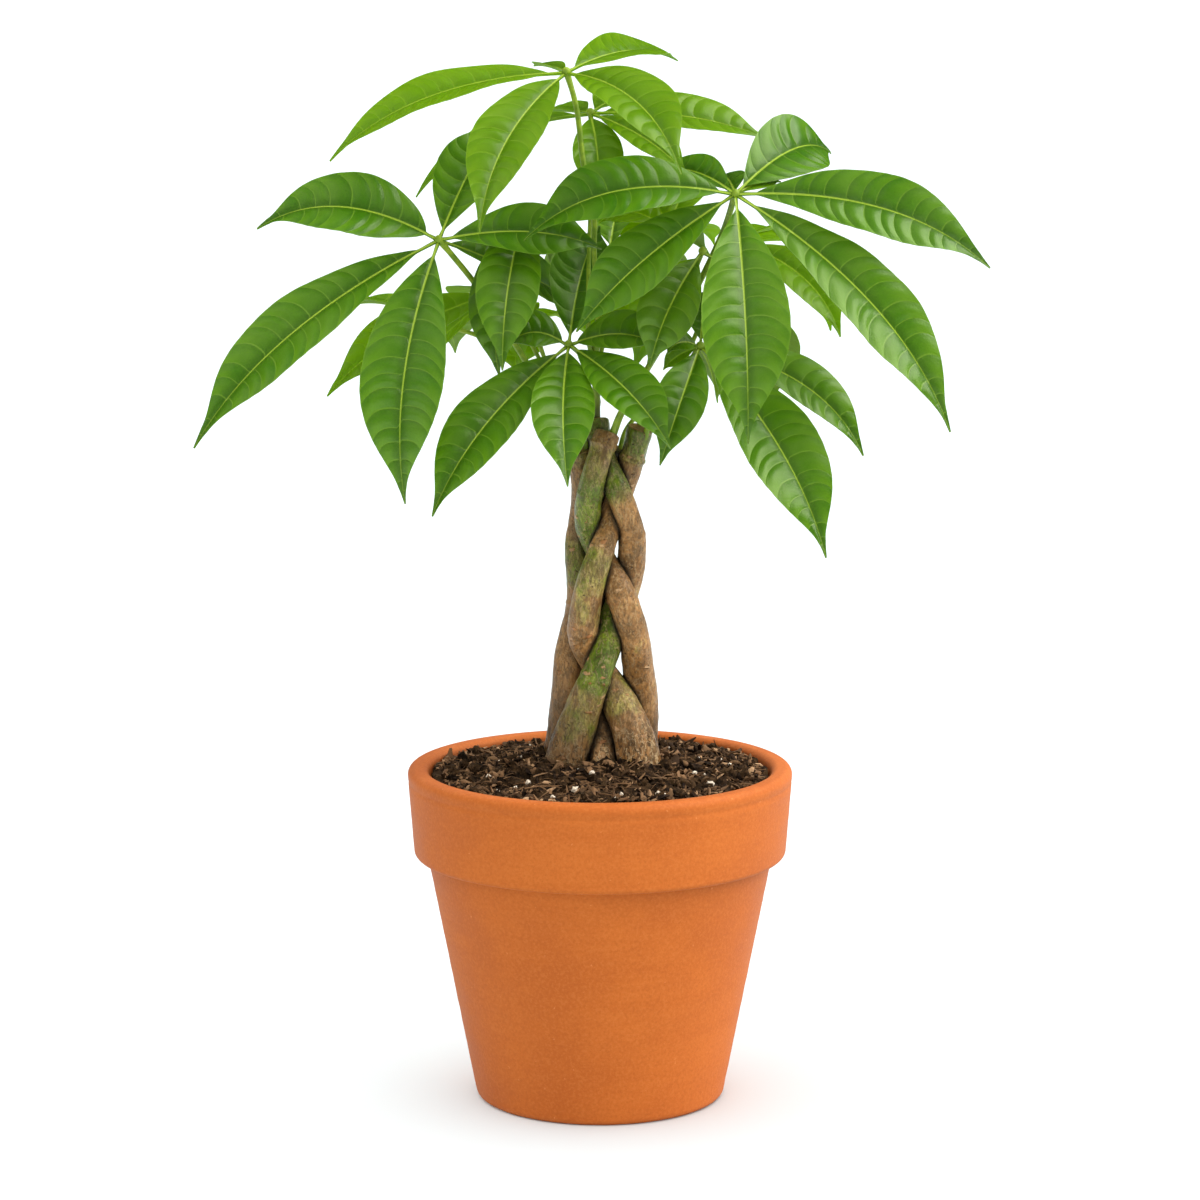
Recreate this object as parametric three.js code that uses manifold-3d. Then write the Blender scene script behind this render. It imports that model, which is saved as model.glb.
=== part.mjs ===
// A potted money tree: five stems braided round each other in a terracotta pot, with a crown of
// hand-shaped leaves on long stalks. Millimetres, +Z up, front towards -Y. The pot stands on z = 0
// with its axis on x = y = 0.
import * as THREE from 'three';
import { mergeVertices } from 'three/addons/utils/BufferGeometryUtils.js';
import Module from 'manifold-3d';

const wasm = await Module();
wasm.setup();
const { Manifold, Mesh: ManifoldMesh } = wasm;

// ---- driving dimensions -------------------------------------------------------------------------

const GAP = 0.3; // clear space between pieces that touch
const TRIM = 0.04; // slivers below this size left by joining are tidied away

const POT = {
  height: 177,
  rimRadius: 100, // outside, at the widest point just under the lip
  rimFootRadius: 96.5, // outside, at the lower edge of the rim band
  rimFootHeight: 130,
  bandRound: 3, // lower edge of the band
  shoulderRadius: 88, // wall just under the band
  coveRound: 2, // hollow corner between the wall and the band
  baseRadius: 64,
  footRound: 4,
  lipWidth: 10,
  lipRound: 4,
  floor: 11, // thickness
  floorRadius: 56, // inside, where the walls meet the floor
  heelRound: 5, // between the floor and the walls
  sides: 44,
};

// Holes in the floor; the middle of the floor stays whole.
const DRAIN = { count: 3, radius: 4.5, ring: 27, sides: 16 };

const SOIL = {
  edgeHeight: 171,
  crownHeight: 180,
  lumpHeight: 2.2,
  rings: 6,
};

const STEM = {
  soilRadius: 10.6, // where a stem leaves the soil
  bodyRadius: 7.5, // at bodyHeight
  topRadius: 5.7,
  bodyHeight: 238,
  stations: 28,
  sides: 8,
  easing: 40, // rounds of easing apart where thick stems press on each other
};

// Routes of the stems, from their holes in the soil to their cut tops. The left, the right and the
// back right stem are plaited over each other; the other two run up behind the plait.
// girth: thickness of a stem as a share of the usual one.
const STEMS = [
  {
    name: 'stem_left',
    girth: 1,
    route: [
      [-20, -10, 150], [-19, -10, 177], [-15, -10, 190], [-7, -10, 214], [1, -9, 235], [7, 1, 254],
      [13, 6, 269], [16, 0, 291], [15, -4, 302], [9, -7, 324], [2, 3, 339], [-2, 8, 358],
    ],
  },
  {
    name: 'stem_right',
    girth: 1,
    route: [
      [23, -10, 150], [21, -10, 177], [17, -9, 198], [9, 0, 216], [-3, 3, 231], [-9, -6, 247],
      [-9, -9, 256], [-4, -10, 277], [2, -6, 297], [8, 5, 315], [15, 5, 332], [22, 0, 355],
    ],
  },
  {
    name: 'stem_back_right',
    girth: 1,
    route: [
      [22, 12, 150], [21, 12, 177], [21, 7, 210], [19, -2, 233], [15, -9, 256], [10, -8, 271],
      [2, 3, 287], [-6, -2, 304], [-6, -9, 320], [-2, -10, 336], [4, -6, 353],
    ],
  },
  {
    name: 'stem_back_left',
    girth: 0.95,
    route: [
      [-20, 12, 150], [-19, 12, 177], [-18, 9, 210], [-16, 8, 232], [-11, 9, 253], [-10, 8, 269],
      [-11, 7, 288], [-8, 9, 311], [-10, 6, 327], [-9, 3, 343],
    ],
  },
  {
    name: 'stem_front',
    girth: 0.76,
    route: [
      [1, -15, 150], [1, -13, 178], [2, -4, 194], [2, 11, 215], [0, 14, 241], [2, 13, 263],
      [0, 14, 284], [1, 13, 305], [4, 11, 327], [8, 6, 343],
    ],
  },
];

const STALK = { sides: 6, steps: 4, swell: 1.45 };

const SHOOT = {
  grows: 'stem_left',
  route: [[-2, 8, 352], [-2, 6, 366], [-2, -1, 384], [-2, -10, 403]],
  radius: 2.3,
};

const BLADE = {
  thickness: 0.8,
  rib: 1.5, // thickness along the midrib
  fold: 0.15, // rise of each half from the midrib, as a share of its width
  stemHalf: 1, // half-width of the short stalk of a leaflet
  tipHalf: 0.45,
  bend: 0.6, // share of the length at which a leaflet bends over
  widest: 0.48, // share of the length at which most leaflets are widest
  stations: [0, 0.13, 0.28, 0.45, 0.64, 0.83, 1],
  root: 1.2, // a leaflet starts this far out from the middle of the hub
};

const HUB_RADIUS = 2.3;

// One leaflet: the tip's place, the height of its arch, its half-width, the way its upper face
// looks (the leaf's own way if null), how far it swings sideways and where it is widest.
function leaflet(tip, arch, half, face = null, sway = 0, widest = BLADE.widest) {
  return { tip, arch, half, face, sway, widest };
}

// A leaf is a stalk from its foot to the hub, with leaflets spread from the hub like fingers.
const LEAVES = [
  {
    name: 'leaf_top',
    grows: 'shoot',
    radius: 1.4,
    route: [[-2, -10, 402], [-1, -20, 416], [-3, -25, 449], [-3, -26, 467], [-8, -26, 490], [-12, -22, 521]],
    hub: [-17, -20, 539],
    face: [0, -0.45, 0.9],
    leaflets: [
      leaflet([-136, -40, 495], 25, 15.5, [0, -0.42, 0.9], 0, 0.44),
      leaflet([-59, -95, 463], 22, 17.5, null, 7, 0.43),
      leaflet([40, -90, 491], 28, 18.5, null, 0, 0.42),
      leaflet([41, 55, 543], 15, 15, [0, -0.5, 0.85]),
      leaflet([-35, 70, 538], 8, 8, [0, -0.1, 1]),
    ],
  },
  {
    name: 'leaf_upper',
    grows: 'shoot',
    radius: 1.1,
    route: [[-3, -3, 389], [-6, -12, 402], [-6, -17, 414], [-6, -17, 430], [-5, -8, 464], [-3, 8, 491]],
    hub: [-5, 20, 517],
    face: [0, -0.35, 0.93],
    leaflets: [
      leaflet([-97, 45, 472], 22, 14),
      leaflet([0, -12, 471], 16, 13),
      leaflet([87, 30, 503], 10.5, 16, [0, -0.52, 0.85]),
      leaflet([44, -33, 487], 8, 11, [0, -0.5, 0.85], -3),
      leaflet([29, 95, 516], 14, 15),
      leaflet([-35, 98, 512], 5, 13),
    ],
  },
  {
    name: 'leaf_left',
    grows: 'stem_back_left',
    radius: 1.5,
    route: [[-11, 1, 338], [-16, -2, 353], [-42, -10, 397], [-62, -26, 430]],
    hub: [-81, -45, 456],
    face: [-0.15, -0.6, 0.78],
    leaflets: [
      leaflet([-173, -40, 461], 27, 19, [-0.1, -0.75, 0.66], 0, 0.39),
      leaflet([-203, -75, 354], 24, 18, [-0.2, -0.75, 0.6]),
      leaflet([-97, -85, 327], 26, 21, [-0.1, -0.9, 0.4], 7, 0.46),
      leaflet([-52, 5, 513], 6, 17, [-0.2, -0.8, 0.5]),
      leaflet([1, -42, 451], 13, 15, [0, -0.8, 0.6], 0, 0.5),
      leaflet([-4, 48, 411], 6, 15, [0.1, -0.75, 0.6]),
    ],
  },
  {
    name: 'leaf_right',
    grows: 'stem_back_right',
    radius: 1.6,
    route: [[5, -3, 348], [11, -4, 363], [29, -5, 394], [48, -3, 425], [62, -10, 455]],
    hub: [68, -45, 479],
    face: [0.1, -0.7, 0.7],
    leaflets: [
      leaflet([-38, -66, 457], 28, 18, [0, -0.75, 0.65], 0, 0.45),
      leaflet([-12, -62, 411], 10, 17, [-0.1, -0.8, 0.55], 0, 0.5),
      leaflet([73, -98, 359], 26, 22, [0, -0.9, 0.4]),
      leaflet([175, -75, 362], 28, 19, [0.25, -0.8, 0.5], 0, 0.48),
      leaflet([196, -50, 442], 27, 17.5, [0.1, -0.85, 0.5]),
      leaflet([120, 20, 496], 23, 18.5, [0.2, -0.8, 0.55], 8),
      leaflet([28, 15, 486], 12, 12, [-0.2, -0.5, 0.85]),
      leaflet([62, 5, 485], 6, 9, [0, -0.7, 0.7]),
      leaflet([92, -25, 484], 4, 5, [0, -0.7, 0.7]),
    ],
  },
  {
    name: 'leaf_centre',
    grows: 'shoot',
    radius: 1.2,
    route: [[-2, -2, 384], [-6, -9, 389], [-11, -17, 396]],
    hub: [-16, -23, 401],
    face: [0, -0.7, 0.7],
    leaflets: [
      leaflet([-84, -78, 320], 18, 17, [-0.2, -0.8, 0.5]),
      leaflet([-16, -92, 337], 18, 16, [0, -0.9, 0.4], 5),
      leaflet([35, -90, 356], 12, 15, [0.2, -0.8, 0.5]),
      leaflet([31, -36, 401], 12, 14, [0, -0.65, 0.75]),
      leaflet([-48, -27, 400], 14, 13, [-0.1, -0.65, 0.75]),
      leaflet([0, 30, 458], 6, 16, [0, -0.8, 0.6], -4, 0.48),
    ],
  },
  {
    name: 'leaf_low_right',
    grows: 'stem_right',
    radius: 1.3,
    route: [[23, -3, 350], [27, -7, 363], [38, -16, 380]],
    hub: [51, -30, 401],
    face: [0, -0.7, 0.7],
    leaflets: [
      leaflet([30, -66, 344], 14, 13, [0, -0.9, 0.4], -8, 0.45),
      leaflet([113, -85, 300], 23, 20, [0.2, -0.85, 0.45], 4),
      leaflet([134, -42, 346], 26, 14.5, [0.1, -0.6, 0.75]),
      leaflet([56, -16, 429], 6, 9, [0, -0.9, 0.4]),
      leaflet([34, -40, 398], 8, 9, [0, -0.6, 0.8]),
      leaflet([62, 20, 366], 10, 8, [0, -0.6, 0.8]),
      leaflet([92, 45, 399], 12, 14, [0, -0.3, 0.95]),
      leaflet([32, -27, 388], 4, 5, [0, -0.8, 0.5]),
    ],
  },
  {
    name: 'leaf_hanging_left',
    grows: 'stem_back_left',
    radius: 1.1,
    route: [[-7, 5, 338], [-8, 4, 354], [-28, -1, 390], [-38, -19, 430]],
    hub: [-38, -18, 470],
    face: [0, -0.8, 0.5],
    leaflets: [
      leaflet([-49, -58, 391], 20, 16, [0, -0.95, 0.3], 0, 0.45),
      leaflet([-51, -38, 386], 16, 14, [-0.1, -0.9, 0.3], 6),
      leaflet([-26, 45, 438], 8, 11, [0, -0.5, 0.8]),
    ],
  },
  {
    name: 'leaf_behind_left',
    grows: 'stem_back_left',
    radius: 1.1,
    route: [[-11, 6, 338], [-15, 6, 355], [-34, 1, 396]],
    hub: [-52, -6, 427],
    face: [0, -0.6, 0.8],
    leaflets: [
      leaflet([-140, -20, 374], 15, 14, [-0.1, -0.7, 0.6], 0, 0.45),
      leaflet([-106, 25, 371], 8, 14, [-0.1, -0.5, 0.7]),
      leaflet([-78, 74, 416], 6, 13, [-0.1, 0, 1]),
      leaflet([-41, 22, 385], 8, 8, [0, -0.6, 0.6]),
    ],
  },
  {
    name: 'leaf_hanging_right',
    grows: 'stem_back_right',
    radius: 1.1,
    route: [[5, -8, 348], [9, -11, 362], [28, -20, 394], [43, -27, 425]],
    hub: [52, -30, 449],
    face: [0, -0.8, 0.5],
    leaflets: [
      leaflet([25, -50, 392], 14, 15, [-0.1, -0.95, 0.3], -8),
      leaflet([87, -10, 407], 14, 15, [0.2, -0.7, 0.6]),
      leaflet([18, 2, 386], 10, 15, [-0.1, -0.8, 0.5]),
    ],
  },
  {
    name: 'leaf_behind_right',
    grows: 'stem_right',
    radius: 1.2,
    route: [[24, 2, 350], [29, 4, 361], [40, 11, 380], [52, 18, 407]],
    hub: [72, 25, 450],
    face: [0.1, -0.5, 0.8],
    leaflets: [
      leaflet([121, 28, 403], 20, 14, [0.1, -0.5, 0.8]),
      leaflet([124, -5, 403], 20, 14, [0.1, -0.6, 0.8]),
      leaflet([138, 78, 432], 16, 16, [0.1, 0, 1]),
      leaflet([105, 122, 441], 16, 15, [0, 0.2, 1]),
    ],
  },
  {
    name: 'leaf_mid_back',
    grows: 'stem_right',
    radius: 1.1,
    route: [[20, 3, 350], [21, 6, 362], [27, 12, 397]],
    hub: [35, 12, 458],
    face: [0, -0.4, 0.9],
    leaflets: [
      leaflet([-1, 22, 460], 14, 15, [0, -0.5, 0.8]),
      leaflet([16, 66, 483], 10, 13, [0, -0.6, 0.8]),
      leaflet([53, 85, 479], 10, 14, [0, -0.4, 0.9]),
      leaflet([61, 64, 446], 12, 12, [0, -0.4, 0.9]),
      leaflet([21, 20, 437], 12, 13, [0, -0.7, 0.6]),
    ],
  },
  {
    name: 'leaf_inner_back',
    grows: 'shoot',
    radius: 1.1,
    route: [[-2, 2, 380], [0, 8, 390], [3, 15, 405]],
    hub: [8, 30, 445],
    face: [0, -0.4, 0.9],
    leaflets: [
      leaflet([1, 16, 395], 14, 15, [0, -0.8, 0.5]),
      leaflet([53, 66, 421], 14, 15, [0, -0.3, 0.9]),
      leaflet([36, 105, 410], 16, 15, [0, 0.2, 1]),
      leaflet([-24, 92, 412], 16, 13, [0, 0.2, 1]),
    ],
  },
  {
    name: 'leaf_low_back',
    grows: 'stem_front',
    radius: 1.1,
    route: [[6, 8, 338], [3, 14, 352], [-20, 30, 368]],
    hub: [-36, 45, 407],
    face: [0, 0, 1],
    leaflets: [
      leaflet([-44, 30, 381], 14, 14, [0, -0.6, 0.6]),
      leaflet([-60, 125, 396], 16, 16, [0, 0.2, 1]),
      leaflet([-6, 105, 393], 16, 16, [0, 0.2, 1]),
    ],
  },
  {
    name: 'leaf_rear',
    grows: 'shoot',
    radius: 1.3,
    route: [[-2, 7, 367], [-1, 16, 374], [1, 45, 398]],
    hub: [5, 85, 441],
    face: [0, 0.3, 0.95],
    leaflets: [
      leaflet([-44, 120, 428], 20, 17, [0, 0.2, 1]),
      leaflet([-22, 158, 405], 20, 18, [0, 0.4, 0.9]),
      leaflet([44, 162, 405], 20, 18, [0, 0.4, 0.9]),
      leaflet([60, 125, 436], 20, 17, [0, 0.2, 1]),
      leaflet([13, 140, 462], 16, 16, [0, 0.2, 1]),
    ],
  },
  {
    name: 'leaf_rear_left',
    grows: 'stem_back_left',
    radius: 1.2,
    route: [[-7, 8, 338], [-12, 16, 352], [-34, 30, 380], [-60, 44, 397]],
    hub: [-85, 55, 404],
    face: [-0.1, 0.2, 0.95],
    leaflets: [
      leaflet([-102, 82, 339], 18, 16, [-0.2, 0.4, 0.8]),
      leaflet([-118, 118, 358], 18, 16, [-0.3, 0.4, 0.8]),
      leaflet([-80, 140, 381], 18, 16, [0, 0.4, 0.9]),
      leaflet([-143, 92, 408], 16, 12, [-0.2, 0.1, 0.95]),
    ],
  },
  {
    name: 'leaf_rear_right',
    grows: 'stem_front',
    radius: 1.2,
    route: [[10, 8, 338], [14, 17, 353], [52, 42, 384]],
    hub: [85, 60, 416],
    face: [0.1, 0.2, 0.95],
    leaflets: [
      leaflet([93, 92, 357], 18, 16, [0.1, 0.5, 0.8]),
      leaflet([96, 124, 364], 14, 13, [0.2, 0.5, 0.8]),
      leaflet([84, 142, 411], 16, 14, [0.1, 0.3, 0.95]),
      leaflet([72, 130, 373], 18, 14, [0, 0.4, 0.9]),
    ],
  },
];

const COLOURS = { clay: 0xc8744a, soil: 0x3b2417, bark: 0x8a6a48, green: 0x5f8a1e, leaf: 0x4c8a1c };

// ---- general helpers ----------------------------------------------------------------------------

const UP = new THREE.Vector3(0, 0, 1);
const vector = (p) => new THREE.Vector3(p[0], p[1], p[2]);
const radians = (degrees) => (degrees * Math.PI) / 180;

function smoothStep(from, to, value) {
  const s = Math.min(Math.max((value - from) / (to - from), 0), 1);
  return s * s * (3 - 2 * s);
}

function solidFromGeometry(geometry) {
  const bare = new THREE.BufferGeometry();
  bare.setAttribute('position', geometry.getAttribute('position'));
  if (geometry.index) bare.setIndex(geometry.index);
  const welded = mergeVertices(bare, 1e-5);
  const mesh = new ManifoldMesh({
    numProp: 3,
    vertProperties: new Float32Array(welded.getAttribute('position').array),
    triVerts: new Uint32Array(welded.index.array),
  });
  return new Manifold(mesh);
}

// Closed solid through rings of points, each ring with the same number of points, anticlockwise
// when seen from where the rings lead to. The two end rings are closed by flat fans.
function solidFromRings(rings) {
  const count = rings[0].length;
  const positions = [];
  const index = [];
  for (const ring of rings) {
    for (const p of ring) positions.push(p.x, p.y, p.z);
  }
  for (let r = 0; r + 1 < rings.length; r += 1) {
    for (let k = 0; k < count; k += 1) {
      const a = r * count + k;
      const b = r * count + ((k + 1) % count);
      index.push(a, b, b + count, a, b + count, a + count);
    }
  }
  const last = (rings.length - 1) * count;
  for (let k = 1; k + 1 < count; k += 1) {
    index.push(0, k + 1, k);
    index.push(last, last + k, last + k + 1);
  }
  const geometry = new THREE.BufferGeometry();
  geometry.setAttribute('position', new THREE.Float32BufferAttribute(positions, 3));
  geometry.setIndex(index);
  return solidFromGeometry(geometry);
}

// Round solid along a curve; radiusAt gives its radius at each share of the length.
function tube(points, radiusAt, sides) {
  const rings = [];
  let side = null;
  points.forEach((centre, i) => {
    const before = points[Math.max(i - 1, 0)];
    const after = points[Math.min(i + 1, points.length - 1)];
    const along = after.clone().sub(before).normalize();
    if (side === null) side = new THREE.Vector3(1, 0, 0);
    side = side.clone().addScaledVector(along, -side.dot(along)).normalize();
    const other = along.clone().cross(side);
    const radius = radiusAt(i / (points.length - 1), i);
    const ring = [];
    for (let k = 0; k < sides; k += 1) {
      const turn = (2 * Math.PI * k) / sides;
      const out = side.clone().multiplyScalar(Math.cos(turn)).addScaledVector(other, Math.sin(turn));
      ring.push(centre.clone().addScaledVector(out, radius));
    }
    rings.push(ring);
  });
  return solidFromRings(rings);
}

function lathe(profile, sides) {
  const points = profile.map(([r, z]) => new THREE.Vector2(r, z));
  const geometry = new THREE.LatheGeometry(points, sides);
  geometry.rotateX(Math.PI / 2);
  return solidFromGeometry(geometry);
}

function roundedCorner(centre, radius, fromDegrees, toDegrees, steps) {
  const points = [];
  for (let k = 0; k <= steps; k += 1) {
    const turn = radians(fromDegrees + ((toDegrees - fromDegrees) * k) / steps);
    points.push([centre[0] + radius * Math.cos(turn), centre[1] + radius * Math.sin(turn)]);
  }
  return points;
}

function meshFromSolid(name, solid, colour) {
  const data = solid.getMesh();
  const geometry = new THREE.BufferGeometry();
  geometry.setAttribute('position', new THREE.Float32BufferAttribute(data.vertProperties, 3));
  geometry.setIndex(Array.from(data.triVerts));
  geometry.computeVertexNormals();
  const material = new THREE.MeshStandardMaterial({ color: colour, roughness: 0.8 });
  const mesh = new THREE.Mesh(geometry, material);
  mesh.name = name;
  return mesh;
}

// ---- pot and soil -------------------------------------------------------------------------------

// Inside radius of the pot at a height above its floor.
function potInsideRadius(z) {
  const mouth = POT.rimRadius - POT.lipWidth;
  const share = (z - POT.floor) / (POT.height - POT.floor);
  return POT.floorRadius + (mouth - POT.floorRadius) * share;
}

function pot() {
  const { height, rimRadius, rimFootRadius, rimFootHeight, shoulderRadius, baseRadius } = POT;
  const { floor, bandRound, coveRound, footRound, lipRound, heelRound } = POT;
  const mouth = rimRadius - POT.lipWidth;
  const profile = [
    [0, 0],
    ...roundedCorner([baseRadius - footRound, footRound], footRound, -90, -8, 3),
    [shoulderRadius, rimFootHeight - coveRound],
    [shoulderRadius + coveRound, rimFootHeight],
    ...roundedCorner([rimFootRadius - bandRound, rimFootHeight + bandRound], bandRound, -90, 0, 2),
    ...roundedCorner([rimRadius - lipRound, height - lipRound], lipRound, 0, 90, 3),
    ...roundedCorner([mouth + lipRound, height - lipRound], lipRound, 90, 180, 3),
    [potInsideRadius(floor + heelRound), floor + heelRound],
    [potInsideRadius(floor) - heelRound, floor],
    [0, floor],
  ];
  let body = lathe(profile, POT.sides);
  for (let k = 0; k < DRAIN.count; k += 1) {
    const turn = (2 * Math.PI * (k + 0.25)) / DRAIN.count;
    const hole = Manifold.cylinder(3 * floor, DRAIN.radius, DRAIN.radius, DRAIN.sides, true);
    body = body.subtract(hole.translate([DRAIN.ring * Math.cos(turn), DRAIN.ring * Math.sin(turn), 0]));
  }
  return body;
}

// Uneven top of the soil: heaped round the stems, with lumps from a few crossed waves.
function soilHeight(x, y) {
  const reach = Math.hypot(x, y) / potInsideRadius(SOIL.edgeHeight);
  const heap = (SOIL.crownHeight - SOIL.edgeHeight) * (1 - smoothStep(0.25, 1, reach));
  const waves = Math.sin(x * 0.31 + 1.3) * Math.cos(y * 0.27 - 0.4);
  const swells = Math.sin(x * 0.13 - y * 0.19 + 2);
  const lumps = ((waves + swells) / 2) * (1 - reach ** 4);
  return SOIL.edgeHeight + heap + SOIL.lumpHeight * lumps;
}

// Ring of points of a radius round the pot's axis, with the heights that heightAt gives.
function levelRing(radius, heightAt) {
  const ring = [];
  for (let k = 0; k < POT.sides; k += 1) {
    const turn = (2 * Math.PI * k) / POT.sides;
    const x = radius * Math.sin(turn);
    const y = -radius * Math.cos(turn);
    ring.push(new THREE.Vector3(x, y, heightAt(x, y)));
  }
  return ring;
}

// Soil fills the pot; each stem stands in a plain hole in it.
function soil(stems) {
  const heel = POT.floor + POT.heelRound;
  const edge = potInsideRadius(SOIL.edgeHeight) - GAP;
  const rings = [
    levelRing(potInsideRadius(POT.floor) - POT.heelRound - GAP, () => POT.floor + GAP),
    levelRing(potInsideRadius(heel) - GAP, () => heel + GAP),
  ];
  for (let r = 0; r < SOIL.rings; r += 1) {
    rings.push(levelRing(edge * (1 - r / SOIL.rings), r === 0 ? () => SOIL.edgeHeight : soilHeight));
  }
  let body = solidFromRings(rings);
  for (const stem of stems) body = body.subtract(stemSolid(stem, GAP));
  return body;
}

// ---- plaited stems ------------------------------------------------------------------------------

// Natural radius of a stem at height z.
function stemRadius(stem, z) {
  const thinning = smoothStep(STEM.bodyHeight, stem.route[stem.route.length - 1][2], z);
  const flare = 1 - smoothStep(SOIL.edgeHeight, STEM.bodyHeight, z);
  const body = STEM.bodyRadius + (STEM.topRadius - STEM.bodyRadius) * thinning;
  return stem.girth * (body + (STEM.soilRadius - STEM.bodyRadius) * flare);
}

function nearestOnRoute(point, route) {
  const segment = new THREE.Line3();
  const foot = new THREE.Vector3();
  const nearest = new THREE.Vector3();
  let best = Infinity;
  for (let i = 0; i + 1 < route.length; i += 1) {
    segment.set(route[i], route[i + 1]);
    segment.closestPointToPoint(point, true, foot);
    if (foot.distanceTo(point) < best) {
      best = foot.distanceTo(point);
      nearest.copy(foot);
    }
  }
  return nearest;
}

// Where two stems press on each other both give way sideways, and the push spreads along them.
function easeApart(routes) {
  const moves = routes.map((route, s) =>
    route.map((point) => {
      const move = new THREE.Vector3();
      routes.forEach((other, o) => {
        if (o === s) return;
        const nearest = nearestOnRoute(point, other);
        const room = point.distanceTo(nearest);
        const need = stemRadius(STEMS[s], point.z) + stemRadius(STEMS[o], nearest.z) + GAP;
        const push = point.clone().sub(nearest).setZ(0).normalize();
        if (room < need) move.addScaledVector(push, (need - room) / 3);
      });
      return move;
    }),
  );
  return routes.map((route, s) =>
    route.map((point, i) => {
      const before = moves[s][Math.max(i - 1, 0)];
      const after = moves[s][Math.min(i + 1, route.length - 1)];
      const spread = before.clone().add(after).multiplyScalar(0.25);
      return point.clone().add(spread).addScaledVector(moves[s][i], 0.5);
    }),
  );
}

// Grown stems: each is as thick as it would be alone, or as its neighbours leave room for.
function growStems() {
  let routes = STEMS.map((stem) => curvePoints(stem.route, STEM.stations));
  for (let round = 0; round < STEM.easing; round += 1) routes = easeApart(routes);
  return STEMS.map((stem, s) => {
    const radii = routes[s].map((point) => {
      let radius = stemRadius(stem, point.z);
      routes.forEach((other, o) => {
        if (o === s) return;
        const room = point.distanceTo(nearestOnRoute(point, other));
        const share = stem.girth / (stem.girth + STEMS[o].girth);
        radius = Math.min(radius, room * share - GAP);
      });
      return radius;
    });
    return { ...stem, points: routes[s], radii };
  });
}

// The solid of a stem, swollen by extra to cut its hole or a stalk's foot.
function stemSolid(stem, extra = 0) {
  const points = stem.points.map((p) => p.clone());
  points[0].z -= extra;
  points[points.length - 1].z += extra;
  return tube(points, (share, i) => stem.radii[i] + extra, STEM.sides);
}

// ---- green shoot and leaves ---------------------------------------------------------------------

function curvePoints(route, steps) {
  return new THREE.CatmullRomCurve3(route.map(vector), false, 'centripetal').getSpacedPoints(steps);
}

function stalk(route, radius, steps) {
  const swollen = (share) => {
    const foot = 1 - smoothStep(0, 0.12, share);
    const head = smoothStep(0.9, 1, share);
    return radius * (1 + (STALK.swell - 1) * Math.max(foot, 0.6 * head));
  };
  return tube(curvePoints(route, steps), swollen, STALK.sides);
}

function shootSolid(extra = 0) {
  const radius = SHOOT.radius + extra;
  const taper = (share) => radius * (1 - 0.25 * share);
  const body = tube(curvePoints(SHOOT.route, STALK.steps + 2), taper, 8);
  const top = Manifold.sphere(radius * 0.8, 8).translate(SHOOT.route[SHOOT.route.length - 1]);
  return body.add(top);
}

function halfWidthAt(share, half, widest) {
  const s = Math.max((share - 0.05) / 0.95, 0);
  const pointed = 0.95 + 1.1 * Math.max((s - 0.45) / 0.55, 0) ** 1.5;
  const bow = Math.sin(Math.PI * s ** (Math.log(0.5) / Math.log(widest)));
  const least = share < 0.5 ? BLADE.stemHalf : BLADE.tipHalf;
  return Math.max(half * Math.max(bow, 0) ** pointed, least);
}

// A leaflet: an arched blade, folded a little along its midrib and pointed at the tip.
function leafletSolid(hub, leafFace, piece) {
  const tip = vector(piece.tip);
  const chord = tip.clone().sub(hub).normalize();
  const lift = UP.clone().addScaledVector(chord, -UP.dot(chord)).normalize();
  const sideways = chord.clone().cross(lift);
  const bend = hub.clone().lerp(tip, BLADE.bend);
  bend.addScaledVector(lift, piece.arch).addScaledVector(sideways, piece.sway);
  const start = hub.clone().addScaledVector(chord, BLADE.root);
  const midrib = new THREE.QuadraticBezierCurve3(start, bend, tip);
  const face = vector(piece.face ?? leafFace);
  const rings = BLADE.stations.map((share) => {
    const centre = midrib.getPoint(share);
    const along = midrib.getTangent(share);
    const across = along.clone().cross(face).normalize();
    const normal = across.clone().cross(along);
    const half = halfWidthAt(share, piece.half, piece.widest);
    const at = (x, z) => centre.clone().addScaledVector(across, x).addScaledVector(normal, z);
    const edge = half * BLADE.fold;
    return [
      at(0, 0),
      at(half, edge),
      at(half, edge - BLADE.thickness),
      at(0, -BLADE.rib),
      at(-half, edge - BLADE.thickness),
      at(-half, edge),
    ];
  });
  return solidFromRings(rings);
}

// Drops the scraps that a stem's side cuts off the foot of a stalk inside it.
function largestBody(solid) {
  return solid.decompose().reduce((a, b) => (b.volume() > a.volume() ? b : a));
}

function leafSolid(leaf, carrier) {
  const hub = vector(leaf.hub);
  const steps = STALK.steps + leaf.route.length;
  const parts = [stalk([...leaf.route, leaf.hub], leaf.radius, steps).subtract(carrier)];
  parts.push(Manifold.sphere(HUB_RADIUS, 8).translate(leaf.hub));
  for (const piece of leaf.leaflets) parts.push(leafletSolid(hub, leaf.face, piece));
  return largestBody(Manifold.union(parts).simplify(TRIM));
}

// ---- the whole plant ----------------------------------------------------------------------------

const plant = new THREE.Group();
plant.name = 'potted_money_tree';

const stems = growStems();
plant.add(meshFromSolid('pot', pot(), COLOURS.clay));
plant.add(meshFromSolid('soil', soil(stems), COLOURS.soil));

const carriers = { shoot: shootSolid(GAP) };
for (const stem of stems) {
  plant.add(meshFromSolid(stem.name, stemSolid(stem), COLOURS.bark));
  carriers[stem.name] = stemSolid(stem, GAP);
}
plant.add(meshFromSolid('shoot', shootSolid().subtract(carriers[SHOOT.grows]), COLOURS.green));

for (const leaf of LEAVES) {
  plant.add(meshFromSolid(leaf.name, leafSolid(leaf, carriers[leaf.grows]), COLOURS.leaf));
}

export default plant;
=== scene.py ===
"""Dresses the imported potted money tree: fine stems, leaves, soil and pot over the plain solids."""

import math

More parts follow.
